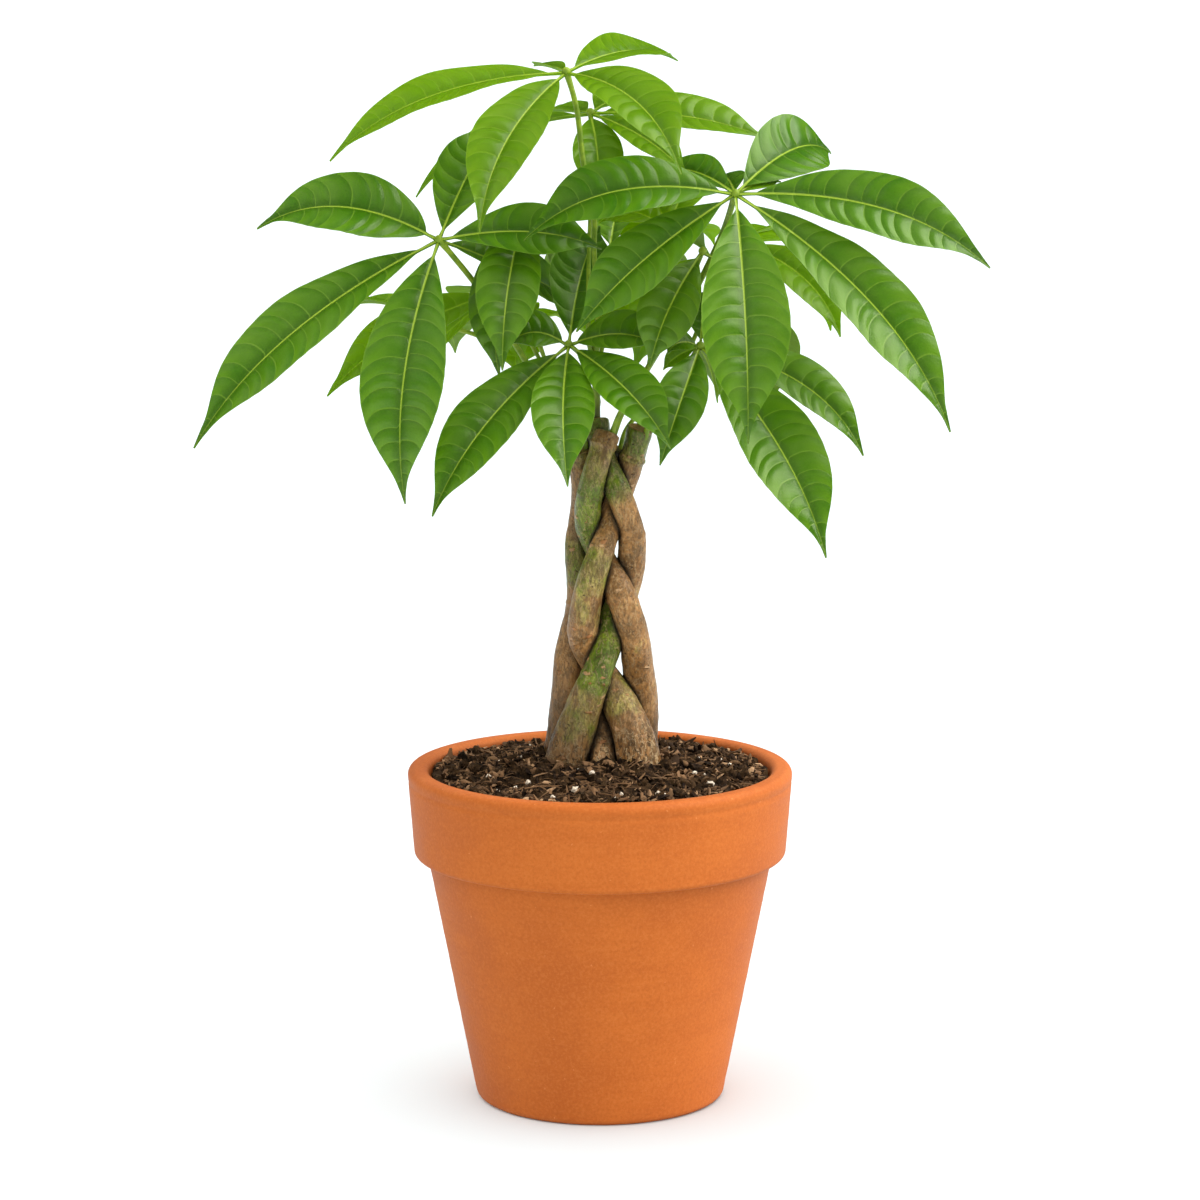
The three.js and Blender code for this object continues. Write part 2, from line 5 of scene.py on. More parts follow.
import bpy
import numpy as np
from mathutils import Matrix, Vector, noise


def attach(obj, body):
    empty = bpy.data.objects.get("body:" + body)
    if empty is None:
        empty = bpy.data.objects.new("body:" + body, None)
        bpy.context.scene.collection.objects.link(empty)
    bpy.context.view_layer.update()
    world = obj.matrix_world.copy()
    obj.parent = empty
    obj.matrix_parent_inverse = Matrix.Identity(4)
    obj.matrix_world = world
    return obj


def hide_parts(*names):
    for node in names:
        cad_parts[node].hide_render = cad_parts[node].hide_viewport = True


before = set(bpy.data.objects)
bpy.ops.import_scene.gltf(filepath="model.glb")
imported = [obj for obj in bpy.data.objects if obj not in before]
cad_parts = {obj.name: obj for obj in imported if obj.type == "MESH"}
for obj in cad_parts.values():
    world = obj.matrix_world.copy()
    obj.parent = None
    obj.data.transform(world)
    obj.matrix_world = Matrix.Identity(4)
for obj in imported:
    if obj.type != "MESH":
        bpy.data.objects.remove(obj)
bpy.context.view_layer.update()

MM = 0.001  # every size and place below is in millimetres, as in the part's source
rng = np.random.default_rng(20)

# What the lamps light.
PLANT = bpy.data.collections.new("plant")
STAGE = bpy.data.collections.new("stage")
TRUNK = bpy.data.collections.new("trunk")
CROWN = bpy.data.collections.new("crown")

# ---- sizes ----

POT_HEIGHT = 177
RIM_RADIUS = 101
RIM_FOOT_RADIUS = 97.9
RIM_FOOT_HEIGHT = 130
BAND_ROUND = 3
SHOULDER_RADIUS = 90.4
COVE_ROUND = 2
BASE_RADIUS = 66
FOOT_ROUND = 4
FOOT_WIDTH = 12
LIP_WIDTH = 11
LIP_ROUND = 4
GROOVE_DROP, GROOVE_DEPTH = 7.5, 0.45
FLOOR = 11
FLOOR_RADIUS = 56
HEEL_ROUND = 5
DRAIN_COUNT, DRAIN_RADIUS, DRAIN_RING = 3, 4.5, 27
POT_SIDES, POT_STEP = 180, 2.5
THROWING_RIPPLE = 0.16

SOIL_EDGE = 171
SOIL_CROWN = 180
SOIL_LUMP = 3.4
SOIL_ROUGH, SOIL_CRUMB = 3.0, 2.2
BANK_RISE = 2.4
SOIL_SIDES, SOIL_RINGS = 200, 64
CLODS, CHIPS, FIBRES, LOOSE_GRAINS = 620, 2100, 760, 16
STEM_CLEARANCE = 9.5

GAP = 0.3
STEM_SOIL_RADIUS = 10.6
STEM_BODY_RADIUS = 7.5
STEM_TOP_RADIUS = 5.7
STEM_BODY_HEIGHT = 238
STEM_STATIONS = 28
EASING_ROUNDS = 40
STRAIGHTENING_ROUNDS = 3
GATHER = 0.95  # how far the braid is drawn in towards its middle
PRESS = 1.0  # how far the stems press into one another
STEM_SWELL = 1.08
STEM_STEPS, STEM_SIDES = 260, 72
STEM_EASE = 13  # rings over which the thickness is evened out
CUT_SWELL, CUT_REACH, SCAR_REACH = 0.5, 3, 1.1
ROOT_FLARE = (5, 38)  # the foot's lobes fade out between these heights over the soil
SHADE_FADE = (18, 70)  # heights over the soil where the painted shade of the foot gives way to that of the trunk
# how far the painted shade of the creases reaches
CREASE_REACH = 4.3
# painted shade on the stems' tops and cut ends, under the crown
CANOPY_SHADE = 0.32

STALK_SWELL = 1.45
STALK_STEPS, STALK_SIDES = 48, 14
SHOOT_ROUTE = [[-2, 8, 352], [-2, 6, 366], [-2, -1, 384], [-2, -10, 403]]
SHOOT_RADIUS = 2.3
SHOOT_STEPS, SHOOT_SIDES = 40, 18
SHOOT_JOINTS = (0.3, 0.52, 0.72, 0.9)
HUB_RADIUS = 2.3

BLADE_FOLD = 0.24
BLADE_BEND = 0.6
BLADE_WIDEST = 0.48
BLADE_ROOT = 1.2
BLADE_COLUMNS = 25
BLADE_THICKNESS = 0.42
VEIN_SPACING = 8.7
VEIN_PAIRS = (6, 16)
QUILT = 1.0
CROWNING = 0.045  # how far a blade's halves bulge, to its half-width
WAVE = 0.032  # how far its margin waves
KEEL, KEEL_TAPER, SIDE_RIB, GROOVE = 1.0, 0.75, 0.2, 0.35
STEM_HALF = 1.0
TIP_HALF = 0.35
DRIP_HALF = 1.35
DRIP_SHARE = 0.075
YOUNGER = 0.45  # how much yellower a young leaflet is than its leaf

FLOOR_SIZE = 300  # in metres, as are the camera's and the lamps' places
CAMERA_DISTANCE = 2.0
CAMERA_HEIGHT = 0.592
CAMERA_PITCH = 9.29  # degrees below the horizon
CAMERA_LENS = 116.46
LAMP_DISTANCE = 3
SKY = 0.22
HORIZON = (0.06, 0.22)
# Lamps: height and bearing in degrees, from the camera's side and + to the right, how wide they
# are in degrees, how strong, what they light, and whether glossy things mirror them.
LAMPS = {
    "overhead": (84, 30, 140, 2.75, None, False),
    "floor_wash": (86, 90, 160, 1.3, STAGE, False),
    "key": (43, 84, 50, 2.8, PLANT, True),
    "front": (36, 22, 150, 1.25, PLANT, False),
    "glint": (26, 26, 24, 0.45, TRUNK, True),
    "back": (34, 170, 110, 3.0, PLANT, False),
    "rim": (30, -75, 90, 0.12, PLANT, False),
    "sheen": (40, -58, 56, 0.36, CROWN, True),
}

# ---- the stems and leaves ----


def stem(name, girth, shade, green, scars, route):
    """shade: how much painted shade lies low down, and higher up. green: stretches of green bark, as
    height, half-length and strength. scars: rings where leaves fell, as height and how proud."""
    return {
        "name": name, "girth": girth, "shade": shade, "green": green, "scars": scars, "route": route
    }


def leaflet(tip, arch, half, face=None, sway=0, widest=BLADE_WIDEST, young=False):
    return {
        "tip": tip, "arch": arch, "half": half, "face": face, "sway": sway, "widest": widest,
        "young": young,
    }


def leaf(name, tone, radius, face, route, leaflets):
    """tone: how yellow, from 0, deep green, to 1, fresh. The stalk's route ends at the hub."""
    return {
        "name": name, "tone": tone, "radius": radius, "face": face, "route": route,
        "leaflets": leaflets,
    }

STEMS = [
    stem("stem_left", 1, (0.62, 0.0),
         [(240, 24, 1.0), (211, 17, 0.42), (331, 12, 0.9), (356, 14, 0.8)],
         [(226, 0.5), (350, 0.7), (300, 0.4)], [
        [-20, -10, 150], [-19, -10, 177], [-15, -10, 190], [-7, -10, 214], [1, -9, 235],
        [7, 1, 254], [13, 6, 269], [16, 0, 291], [15, -4, 302], [9, -7, 324], [2, 3, 339],
        [-2, 8, 358],
    ]),
    stem("stem_right", 1, (0.15, 0.0),
         [(212, 10, 0.52), (262, 8, 0.35), (281, 12, 0.6), (350, 14, 0.75)],
         [(339, 0.9), (250, 0.4), (293, 0.35)], [
        [23, -10, 150], [21, -10, 177], [17, -9, 198], [9, 0, 216], [-3, 3, 231], [-9, -6, 247],
        [-9, -9, 256], [-4, -10, 277], [2, -6, 297], [8, 5, 315], [15, 5, 332], [22, 0, 355],
    ]),
    stem("stem_back_right", 1, (0.5, 0.0), [(309, 22, 1.0), (338, 9, 0.45)],
         [(322, 0.4), (347, 0.8), (268, 0.4)], [
        [22, 12, 150], [21, 12, 177], [21, 7, 210], [19, -2, 233], [15, -9, 256], [10, -8, 271],
        [2, 3, 287], [-6, -2, 304], [-6, -9, 320], [-2, -10, 336], [4, -6, 353],
    ]),
    stem("stem_back_left", 0.95, (0.6, 0.3), [(284, 13, 0.6), (343, 8, 0.5)],
         [(334, 0.6), (262, 0.4)], [
        [-20, 12, 150], [-19, 12, 177], [-18, 9, 210], [-16, 8, 232], [-11, 9, 253], [-10, 8, 269],
        [-11, 7, 288], [-8, 9, 311], [-10, 6, 327], [-9, 3, 343],
    ]),
    stem("stem_front", 0.76, (0.15, 0.0), [(335, 22, 0.8), (285, 12, 0.4)], [(330, 0.5)], [
        [1, -15, 150], [1, -13, 178], [2, -4, 194], [2, 11, 215], [0, 14, 241], [2, 13, 263],
        [0, 14, 284], [1, 13, 305], [4, 11, 327], [8, 6, 343],
    ]),
]
LEAVES = [
    leaf("leaf_top", 0.72, 1.4, [0, -0.45, 0.9], [
        [-2, -10, 402], [-1, -20, 416], [-3, -25, 449], [-3, -26, 467], [-8, -26, 490],
        [-12, -22, 521], [-17, -20, 539],
    ], [
        leaflet([-136, -40, 495], 25, 15.5, [0, -0.42, 0.9], 0, 0.44),
        leaflet([-59, -95, 463], 22, 17.5, None, 7, 0.43),
        leaflet([40, -90, 491], 28, 18.5, None, 0, 0.42),
        leaflet([41, 55, 543], 15, 15, [0, -0.5, 0.85]),
        leaflet([-35, 70, 540], 3, 7, [0, -0.1, 1]),
    ]),
    leaf("leaf_upper", 0.7, 1.1, [0, -0.35, 0.93], [
        [-3, -3, 389], [-6, -12, 402], [-6, -17, 414], [-6, -17, 430], [-5, -8, 464], [-3, 8, 491],
        [-5, 20, 517],
    ], [
        leaflet([-97, 45, 472], 22, 14),
        leaflet([0, -12, 471], 16, 13),
        leaflet([87, 30, 503], 10.5, 16, [0, -0.52, 0.85]),
        leaflet([44, -33, 487], 8, 11, [0, -0.5, 0.85], -3),
        leaflet([29, 95, 516], 14, 15),
        leaflet([-35, 98, 512], 5, 13),
    ]),
    leaf("leaf_left", 0.22, 1.5, [-0.15, -0.6, 0.78], [
        [-11, 1, 338], [-16, -2, 353], [-42, -10, 397], [-62, -26, 430], [-81, -45, 456],
    ], [
        leaflet([-173, -40, 461], 27, 19, [-0.1, -0.75, 0.66], 0, 0.39),
        leaflet([-203, -75, 354], 24, 18, [-0.2, -0.75, 0.6]),
        leaflet([-97, -85, 327], 26, 21, [-0.1, -0.9, 0.4], 7, 0.46),
        leaflet([-52, 5, 513], 6, 17, [-0.2, -0.8, 0.5]),
        leaflet([1, -42, 451], 13, 15, [0, -0.8, 0.6], 0, 0.5),
        leaflet([-4, 48, 411], 6, 15, [0.1, -0.75, 0.6]),
    ]),
    leaf("leaf_right", 0.18, 1.6, [0.1, -0.7, 0.7], [
        [5, -3, 348], [11, -4, 363], [29, -5, 394], [48, -3, 425], [62, -10, 455], [68, -45, 479],
    ], [
        leaflet([-38, -66, 457], 28, 18, [0, -0.75, 0.65], 0, 0.45),
        leaflet([-12, -62, 411], 10, 17, [-0.1, -0.8, 0.55], 0, 0.5),
        leaflet([73, -98, 359], 26, 22, [0, -0.9, 0.4]),
        leaflet([175, -75, 362], 28, 19, [0.25, -0.8, 0.5]),
        leaflet([196, -50, 442], 27, 17.5, [0.1, -0.85, 0.5]),
        leaflet([120, 20, 496], 23, 18.5, [0.2, -0.8, 0.55], 8),
        leaflet([28, 15, 486], 12, 12, [-0.2, -0.5, 0.85]),
        leaflet([62, 5, 485], 6, 9, [0, -0.7, 0.7]),
        leaflet([92, -25, 484], 4, 5, [0, -0.7, 0.7], young=True),
    ]),
    leaf("leaf_centre", 0.25, 1.2, [0, -0.7, 0.7], [
        [-2, -2, 384], [-6, -9, 389], [-11, -17, 396], [-16, -23, 401],
    ], [
        leaflet([-84, -78, 320], 18, 17, [-0.2, -0.8, 0.5]),
        leaflet([-16, -92, 337], 18, 16, [0, -0.9, 0.4], 5),
        leaflet([35, -90, 356], 12, 15, [0.2, -0.8, 0.5]),
        leaflet([31, -36, 401], 12, 14, [0, -0.65, 0.75]),
        leaflet([-48, -27, 400], 14, 13, [-0.1, -0.65, 0.75]),
        leaflet([0, 30, 458], 6, 16, [0, -0.8, 0.6], -4),
    ]),
    leaf("leaf_low_right", 0.3, 1.3, [0, -0.7, 0.7], [
        [23, -3, 350], [27, -7, 363], [38, -16, 380], [51, -30, 401],
    ], [
        leaflet([30, -66, 344], 14, 13, [0, -0.9, 0.4], -8, 0.45),
        leaflet([113, -85, 300], 23, 20, [0.2, -0.85, 0.45], 4),
        leaflet([134, -42, 346], 26, 14.5, [0.1, -0.6, 0.75]),
        leaflet([56, -16, 429], 6, 9, [0, -0.9, 0.4]),
        leaflet([34, -40, 398], 8, 9, [0, -0.6, 0.8]),
        leaflet([62, 20, 366], 10, 8, [0, -0.6, 0.8], young=True),
        leaflet([92, 45, 399], 12, 14, [0, -0.3, 0.95]),
        leaflet([32, -27, 388], 4, 5, [0, -0.8, 0.5], young=True),
    ]),
    leaf("leaf_hanging_left", 0.25, 1.1, [0, -0.8, 0.5], [
        [-7, 5, 338], [-8, 4, 354], [-28, -1, 390], [-38, -19, 430], [-38, -18, 470],
    ], [
        leaflet([-49, -58, 391], 20, 16, [0, -0.95, 0.3], 0, 0.45),
        leaflet([-51, -38, 386], 16, 14, [-0.1, -0.9, 0.3], 6),
        leaflet([-26, 45, 438], 8, 11, [0, -0.5, 0.8]),
    ]),
    leaf("leaf_behind_left", 0.85, 1.1, [0, -0.6, 0.8], [
        [-11, 6, 338], [-15, 6, 355], [-34, 1, 396], [-52, -6, 427],
    ], [
        leaflet([-140, -20, 374], 15, 14, [-0.1, -0.7, 0.6], 0, 0.45),
        leaflet([-106, 25, 371], 8, 14, [-0.1, -0.5, 0.7], young=True),
        leaflet([-78, 74, 416], 6, 13, [-0.1, 0, 1]),
        leaflet([-41, 22, 385], 8, 8, [0, -0.6, 0.6], young=True),
    ]),
    leaf("leaf_hanging_right", 0.4, 1.1, [0, -0.8, 0.5], [
        [5, -8, 348], [9, -11, 362], [28, -20, 394], [43, -27, 425], [52, -30, 449],
    ], [
        leaflet([25, -50, 392], 14, 15, [-0.1, -0.95, 0.3], -8),
        leaflet([87, -10, 407], 14, 15, [0.2, -0.7, 0.6]),
        leaflet([18, 2, 386], 10, 15, [-0.1, -0.8, 0.5], young=True),
    ]),
    leaf("leaf_behind_right", 0.85, 1.2, [0.1, -0.5, 0.8], [
        [24, 2, 350], [29, 4, 361], [40, 11, 380], [52, 18, 407], [72, 25, 450],
    ], [
        leaflet([121, 28, 403], 20, 14, [0.1, -0.5, 0.8]),
        leaflet([124, -5, 403], 20, 14, [0.1, -0.6, 0.8]),
        leaflet([138, 78, 432], 16, 16, [0.1, 0, 1]),
        leaflet([105, 122, 441], 16, 15, [0, 0.2, 1]),
    ]),
    leaf("leaf_mid_back", 1.0, 1.1, [0, -0.4, 0.9], [
        [20, 3, 350], [21, 6, 362], [27, 12, 397], [35, 12, 458],
    ], [
        leaflet([-1, 22, 460], 14, 15, [0, -0.5, 0.8]),
        leaflet([16, 66, 483], 10, 13, [0, -0.6, 0.8]),
        leaflet([53, 85, 479], 10, 14, [0, -0.4, 0.9]),
        leaflet([61, 64, 446], 12, 12, [0, -0.4, 0.9]),
        leaflet([21, 20, 437], 12, 13, [0, -0.7, 0.6]),
    ]),
    leaf("leaf_inner_back", 1.1, 1.1, [0, -0.4, 0.9], [
        [-2, 2, 380], [0, 8, 390], [3, 15, 405], [8, 30, 445],
    ], [
        leaflet([1, 16, 395], 14, 15, [0, -0.8, 0.5]),
        leaflet([53, 66, 421], 14, 15, [0, -0.3, 0.9]),
        leaflet([36, 105, 410], 16, 15, [0, 0.2, 1]),
        leaflet([-24, 92, 412], 16, 13, [0, 0.2, 1]),
    ]),
    leaf("leaf_low_back", 1.05, 1.1, [0, 0, 1], [
        [6, 8, 338], [3, 14, 352], [-20, 30, 368], [-36, 45, 407],
    ], [
        leaflet([-44, 30, 381], 14, 14, [0, -0.6, 0.6]),
        leaflet([-60, 125, 396], 16, 16, [0, 0.2, 1]),
        leaflet([-6, 105, 393], 16, 16, [0, 0.2, 1]),
    ]),
    leaf("leaf_rear", 0.5, 1.3, [0, 0.3, 0.95], [
        [-2, 7, 367], [-1, 16, 374], [1, 45, 398], [5, 85, 441],
    ], [
        leaflet([-44, 120, 428], 20, 17, [0, 0.2, 1]),
        leaflet([-22, 158, 405], 20, 18, [0, 0.4, 0.9]),
        leaflet([44, 162, 405], 20, 18, [0, 0.4, 0.9]),
        leaflet([60, 125, 436], 20, 17, [0, 0.2, 1]),
        leaflet([13, 140, 462], 16, 16, [0, 0.2, 1]),
    ]),
    leaf("leaf_rear_left", 0.5, 1.2, [-0.1, 0.2, 0.95], [
        [-7, 8, 338], [-12, 16, 352], [-34, 30, 380], [-60, 44, 397], [-85, 55, 404],
    ], [
        leaflet([-102, 82, 339], 18, 16, [-0.2, 0.4, 0.8]),
        leaflet([-118, 118, 358], 18, 16, [-0.3, 0.4, 0.8]),
        leaflet([-80, 140, 381], 18, 16, [0, 0.4, 0.9]),
        leaflet([-143, 92, 408], 16, 12, [-0.2, 0.1, 0.95]),
    ]),
    leaf("leaf_rear_right", 0.5, 1.2, [0.1, 0.2, 0.95], [
        [10, 8, 338], [14, 17, 353], [52, 42, 384], [85, 60, 416],
    ], [
        leaflet([93, 92, 357], 18, 16, [0.1, 0.5, 0.8]),
        leaflet([96, 124, 364], 14, 13, [0.2, 0.5, 0.8]),
        leaflet([84, 142, 411], 16, 14, [0.1, 0.3, 0.95]),
        leaflet([72, 130, 373], 18, 14, [0, 0.4, 0.9]),
    ]),
]

# Perlite grains that show in front of the stems: places on the soil and sizes.
PERLITE = [
    (-13, -58, 1.9), (31, -66, 2.6), (40, -55, 1.6), (-37, -46, 1.5), (8, -70, 1.3),
    (57, -38, 2.1), (-58, -24, 1.4), (68, -20, 1.6), (-4, -40, 1.7), (20, -38, 1.2),
    (-24, -70, 1.5), (49, -30, 1.2),
]

# ---- general helpers ----


def smooth_step(low, high, value):
    s = np.clip((value - low) / (high - low), 0, 1)
    return s * s * (3 - 2 * s)


def unit(v):
    v = np.asarray(v, float)
    return v / np.linalg.norm(v, axis=-1, keepdims=True)


def around(count):
    return np.linspace(0, 2 * np.pi, count, endpoint=False)


def circle(turns, radius, z):
    """Points round the pot's axis, from the front."""
    return np.stack([radius * np.sin(turns), -radius * np.cos(turns), np.full(len(turns), z)], 1)


def new_mesh_piece(name, points, faces, material, slot, nodes=(), values=None):
    """A smooth mesh; values are numbers kept at its points for shaders."""
    mesh = bpy.data.meshes.new(name)
    mesh.from_pydata((np.asarray(points) * MM).tolist(), [], faces)
    for key, numbers in (values or {}).items():
        layer = mesh.attributes.new(key, "FLOAT", "POINT")
        layer.data.foreach_set("value", np.asarray(numbers, np.float32))
    mesh.polygons.foreach_set("use_smooth", [True] * len(mesh.polygons))
    mesh.set_sharp_from_angle(angle=math.radians(55))
    mesh.materials.append(material)
    mesh.update()
    piece = bpy.data.objects.new(name, mesh)
    bpy.context.collection.objects.link(piece)
    PLANT.objects.link(piece)
    if slot == "bark":
        TRUNK.objects.link(piece)
    if slot == "leaf":
        CROWN.objects.link(piece)
    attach(piece, "root")
    if nodes:
        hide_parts(*nodes)
    return piece


def ring_faces(rings, sides):
    """Quads between rings of points, closed round each ring."""
    r, k = np.meshgrid(np.arange(rings - 1), np.arange(sides), indexing="ij")
    a = r * sides + k
    b = r * sides + (k + 1) % sides
    return np.stack([a, b, b + sides, a + sides], -1).reshape(-1, 4)


def closed_faces(rings, sides):
    """Faces of rings of points and of the two points after them, which close the start and end."""
    faces = ring_faces(rings, sides).tolist()
    last = (rings - 1) * sides
    for k in range(sides):
        n = (k + 1) % sides
        faces.append([rings * sides, n, k])
        faces.append([rings * sides + 1, last + k, last + n])
    return faces


def ball(rows, sides):
    """Directions in rings from the bottom to the top, and the faces between them."""
    ways = []
    for r in range(rows):
        lift = math.pi * (r + 0.5) / rows
        for k in range(sides):
            turn = 2 * math.pi * k / sides
            flat = math.sin(lift)
            ways.append([flat * math.cos(turn), flat * math.sin(turn), -math.cos(lift)])
    faces = ring_faces(rows, sides).tolist()
    faces.append(list(range(sides))[::-1])
    faces.append(list(range((rows - 1) * sides, rows * sides)))
    return np.array(ways), faces


class Builder:
    """Collects the points, faces and shader values of many small bodies for one mesh."""

    def __init__(self):
        self.points, self.faces, self.values, self.count = [], [], {}, 0

    def add(self, points, faces, **values):
        self.points.append(points)
        self.faces += [[i + self.count for i in face] for face in faces]
        for key, numbers in values.items():
            spread = np.broadcast_to(np.asarray(numbers, float), (len(points),))
            self.values.setdefault(key, []).append(spread)
        self.count += len(points)

    def piece(self, name, material, slot, nodes=()):
        values = {key: np.concatenate(numbers) for key, numbers in self.values.items()}
        points = np.concatenate(self.points)
        return new_mesh_piece(name, points, self.faces, material, slot, nodes, values)


def curve_points(route, steps):
    """Evenly spaced points on the centripetal Catmull-Rom curve through a route."""
    p = np.asarray(route, float)
    p = np.vstack([2 * p[0] - p[1], p, 2 * p[-1] - p[-2]])
    dense = []
    for i in range(1, len(p) - 2):
        x0, x1, x2, x3 = p[i - 1 : i + 3]
        d0, d1, d2 = (math.dist(a, b) ** 0.5 for a, b in ((x0, x1), (x1, x2), (x2, x3)))
        m1 = ((x1 - x0) / d0 - (x2 - x0) / (d0 + d1) + (x2 - x1) / d1) * d1
        m2 = ((x2 - x1) / d1 - (x3 - x1) / (d1 + d2) + (x3 - x2) / d2) * d1
        t = np.linspace(0, 1, 40, endpoint=False)[:, None]
        bend, twist = 3 * (x2 - x1) - 2 * m1 - m2, 2 * (x1 - x2) + m1 + m2
        dense.append(x1 + m1 * t + bend * t**2 + twist * t**3)
    dense = np.vstack(dense + [p[-2:-1]])
    length = np.concatenate([[0], np.cumsum(np.linalg.norm(np.diff(dense, axis=0), axis=1))])
    wanted = np.linspace(0, length[-1], steps + 1)
    return np.stack([np.interp(wanted, length, dense[:, k]) for k in range(3)], 1)


def tube_rings(points, radii, sides, shape=None):
    """Rings of points round a curve. shape(ring, turns) scales the radius, for bumps and lobes."""
    side = np.array([1.0, 0, 0])
    turns = around(sides)
    rings = []
    for i, (centre, way) in enumerate(zip(points, unit(np.gradient(points, axis=0)))):
        side = unit(side - way * side.dot(way))
        other = np.cross(way, side)
        out = side * np.cos(turns)[:, None] + other * np.sin(turns)[:, None]
        scale = radii[i] * (1 if shape is None else shape(i, turns))
        rings.append(centre + out * np.reshape(scale, (-1, 1)))
    return np.array(rings)


def add_tube(builder, points, radii, sides, **values):
    """A closed tube with slightly domed ends."""
    rings = tube_rings(points, radii, sides)
    way = unit(np.gradient(points, axis=0))
    start = points[0] - way[0] * radii[0] * 0.35
    end = points[-1] + way[-1] * radii[-1] * 0.35
    spread = {}
    for key, number in values.items():
        number = np.asarray(number, float)
        if number.ndim:
            number = np.concatenate([np.repeat(number, sides), number[:1], number[-1:]])
        spread[key] = number
    body = np.vstack([rings.reshape(-1, 3), start, end])
    builder.add(body, closed_faces(len(points), sides), **spread)

# ---- materials: colours are linear red, green and blue, bump distances in metres ----


class Nodes:
    """Short calls for building one material's nodes."""

    def __init__(self, name):
        self.material = bpy.data.materials.new(name)
        self.material.use_nodes = True
        self.tree = self.material.node_tree
        self.tree.nodes.clear()

    def node(self, kind, inputs=None, **settings):
        made = self.tree.nodes.new("ShaderNode" + kind)
        for key, value in settings.items():
            setattr(made, key, value)
        for key, value in (inputs or {}).items():
            self.set(made.inputs[key], value)
        return made

    def set(self, socket, value):
        if isinstance(value, bpy.types.NodeSocket):
            self.tree.links.new(value, socket)
        elif hasattr(value, "outputs"):
            self.tree.links.new(value.outputs[0], socket)
        else:
            socket.default_value = value

    def attribute(self, key):
        return self.node("Attribute", attribute_name=key).outputs["Fac"]

    def math(self, operation, a, b=0.0):
        return self.node("Math", {0: a, 1: b}, operation=operation).outputs[0]

    def plus(self, a, b):
        return self.math("ADD", a, b)

    def minus(self, a, b):
        return self.math("SUBTRACT", a, b)

    def times(self, a, b):
        return self.math("MULTIPLY", a, b)

    def vector(self, operation, a, b):
        return self.node("VectorMath", {0: a, 1: b}, operation=operation).outputs[0]

    def ramp(self, value, low, high, to_low=0.0, to_high=1.0, kind="SMOOTHSTEP"):
        inputs = {"Value": value, "From Min": low, "From Max": high}
        inputs.update({"To Min": to_low, "To Max": to_high})
        return self.node("MapRange", inputs, interpolation_type=kind).outputs[0]

    def line(self, value, low, high, to_low=0.0, to_high=1.0):
        return self.ramp(value, low, high, to_low, to_high, "LINEAR")

    def mix(self, share, a, b):
        made = self.node("Mix", {0: share}, data_type="RGBA")
        for socket, colour in ((made.inputs[6], a), (made.inputs[7], b)):
            self.set(socket, (*colour, 1) if isinstance(colour, tuple) else colour)
        return made.outputs[2]

    def place(self, scale=(1, 1, 1)):
        """Object coordinates, stretched."""
        where = self.node("TexCoord").outputs["Object"]
        return self.node("Mapping", {"Vector": where, "Scale": scale}).outputs[0]

    def noise(self, scale, detail=4.0, rough=0.55, stretch=(1, 1, 1)):
        inputs = {"Scale": scale, "Detail": detail, "Roughness": rough}
        inputs["Vector"] = self.place(stretch)
        return self.node("TexNoise", inputs).outputs["Fac"]

    def spots(self, scale, size, share, stretch):
        """Small scattered marks, and a random number for each mark."""
        where = self.place(stretch)
        wobble = self.node("TexNoise", {"Vector": where, "Scale": scale * 2.5, "Detail": 2.0})
        shift = self.vector("SUBTRACT", wobble.outputs["Color"], (0.5, 0.5, 0.5))
        shift = self.vector("MULTIPLY", shift, (0.6 / scale,) * 3)
        where = self.vector("ADD", where, shift)
        cells = self.node("TexVoronoi", {"Vector": where, "Scale": scale})
        pick = self.node("SeparateColor", {0: cells.outputs["Color"]})
        near = self.ramp(cells.outputs["Distance"], size, size * 1.8, 1.0, 0.0)
        return self.times(near, self.math("LESS_THAN", pick.outputs[0], share)), pick.outputs[1]

    def contour(self, scale, level, width, stretch):
        """Thin wandering lines, where a slow noise passes one level."""
        away = self.minus(self.noise(scale, 4, 0.6, stretch), level)
        return self.ramp(self.math("ABSOLUTE", away), width * 0.3, width, 1.0, 0.0)

    def bump(self, height, distance, strength=1.0, normal=None):
        inputs = {"Height": height, "Distance": distance, "Strength": strength}
        if normal is not None:
            inputs["Normal"] = normal
        return self.node("Bump", inputs).outputs[0]

    def surface(self, colour, rough, normal=None, specular=0.5, tint=(1, 1, 1)):
        made = self.node("BsdfPrincipled", {"Base Color": colour, "Roughness": rough})
        if normal is not None:
            self.set(made.inputs["Normal"], normal)
        made.inputs["Specular IOR Level"].default_value = specular
        made.inputs["Specular Tint"].default_value = (*tint, 1)
        return made

    def finish(self, shader):
        out = self.node("OutputMaterial")
        self.set(out.inputs["Surface"], shader)
        return self.material


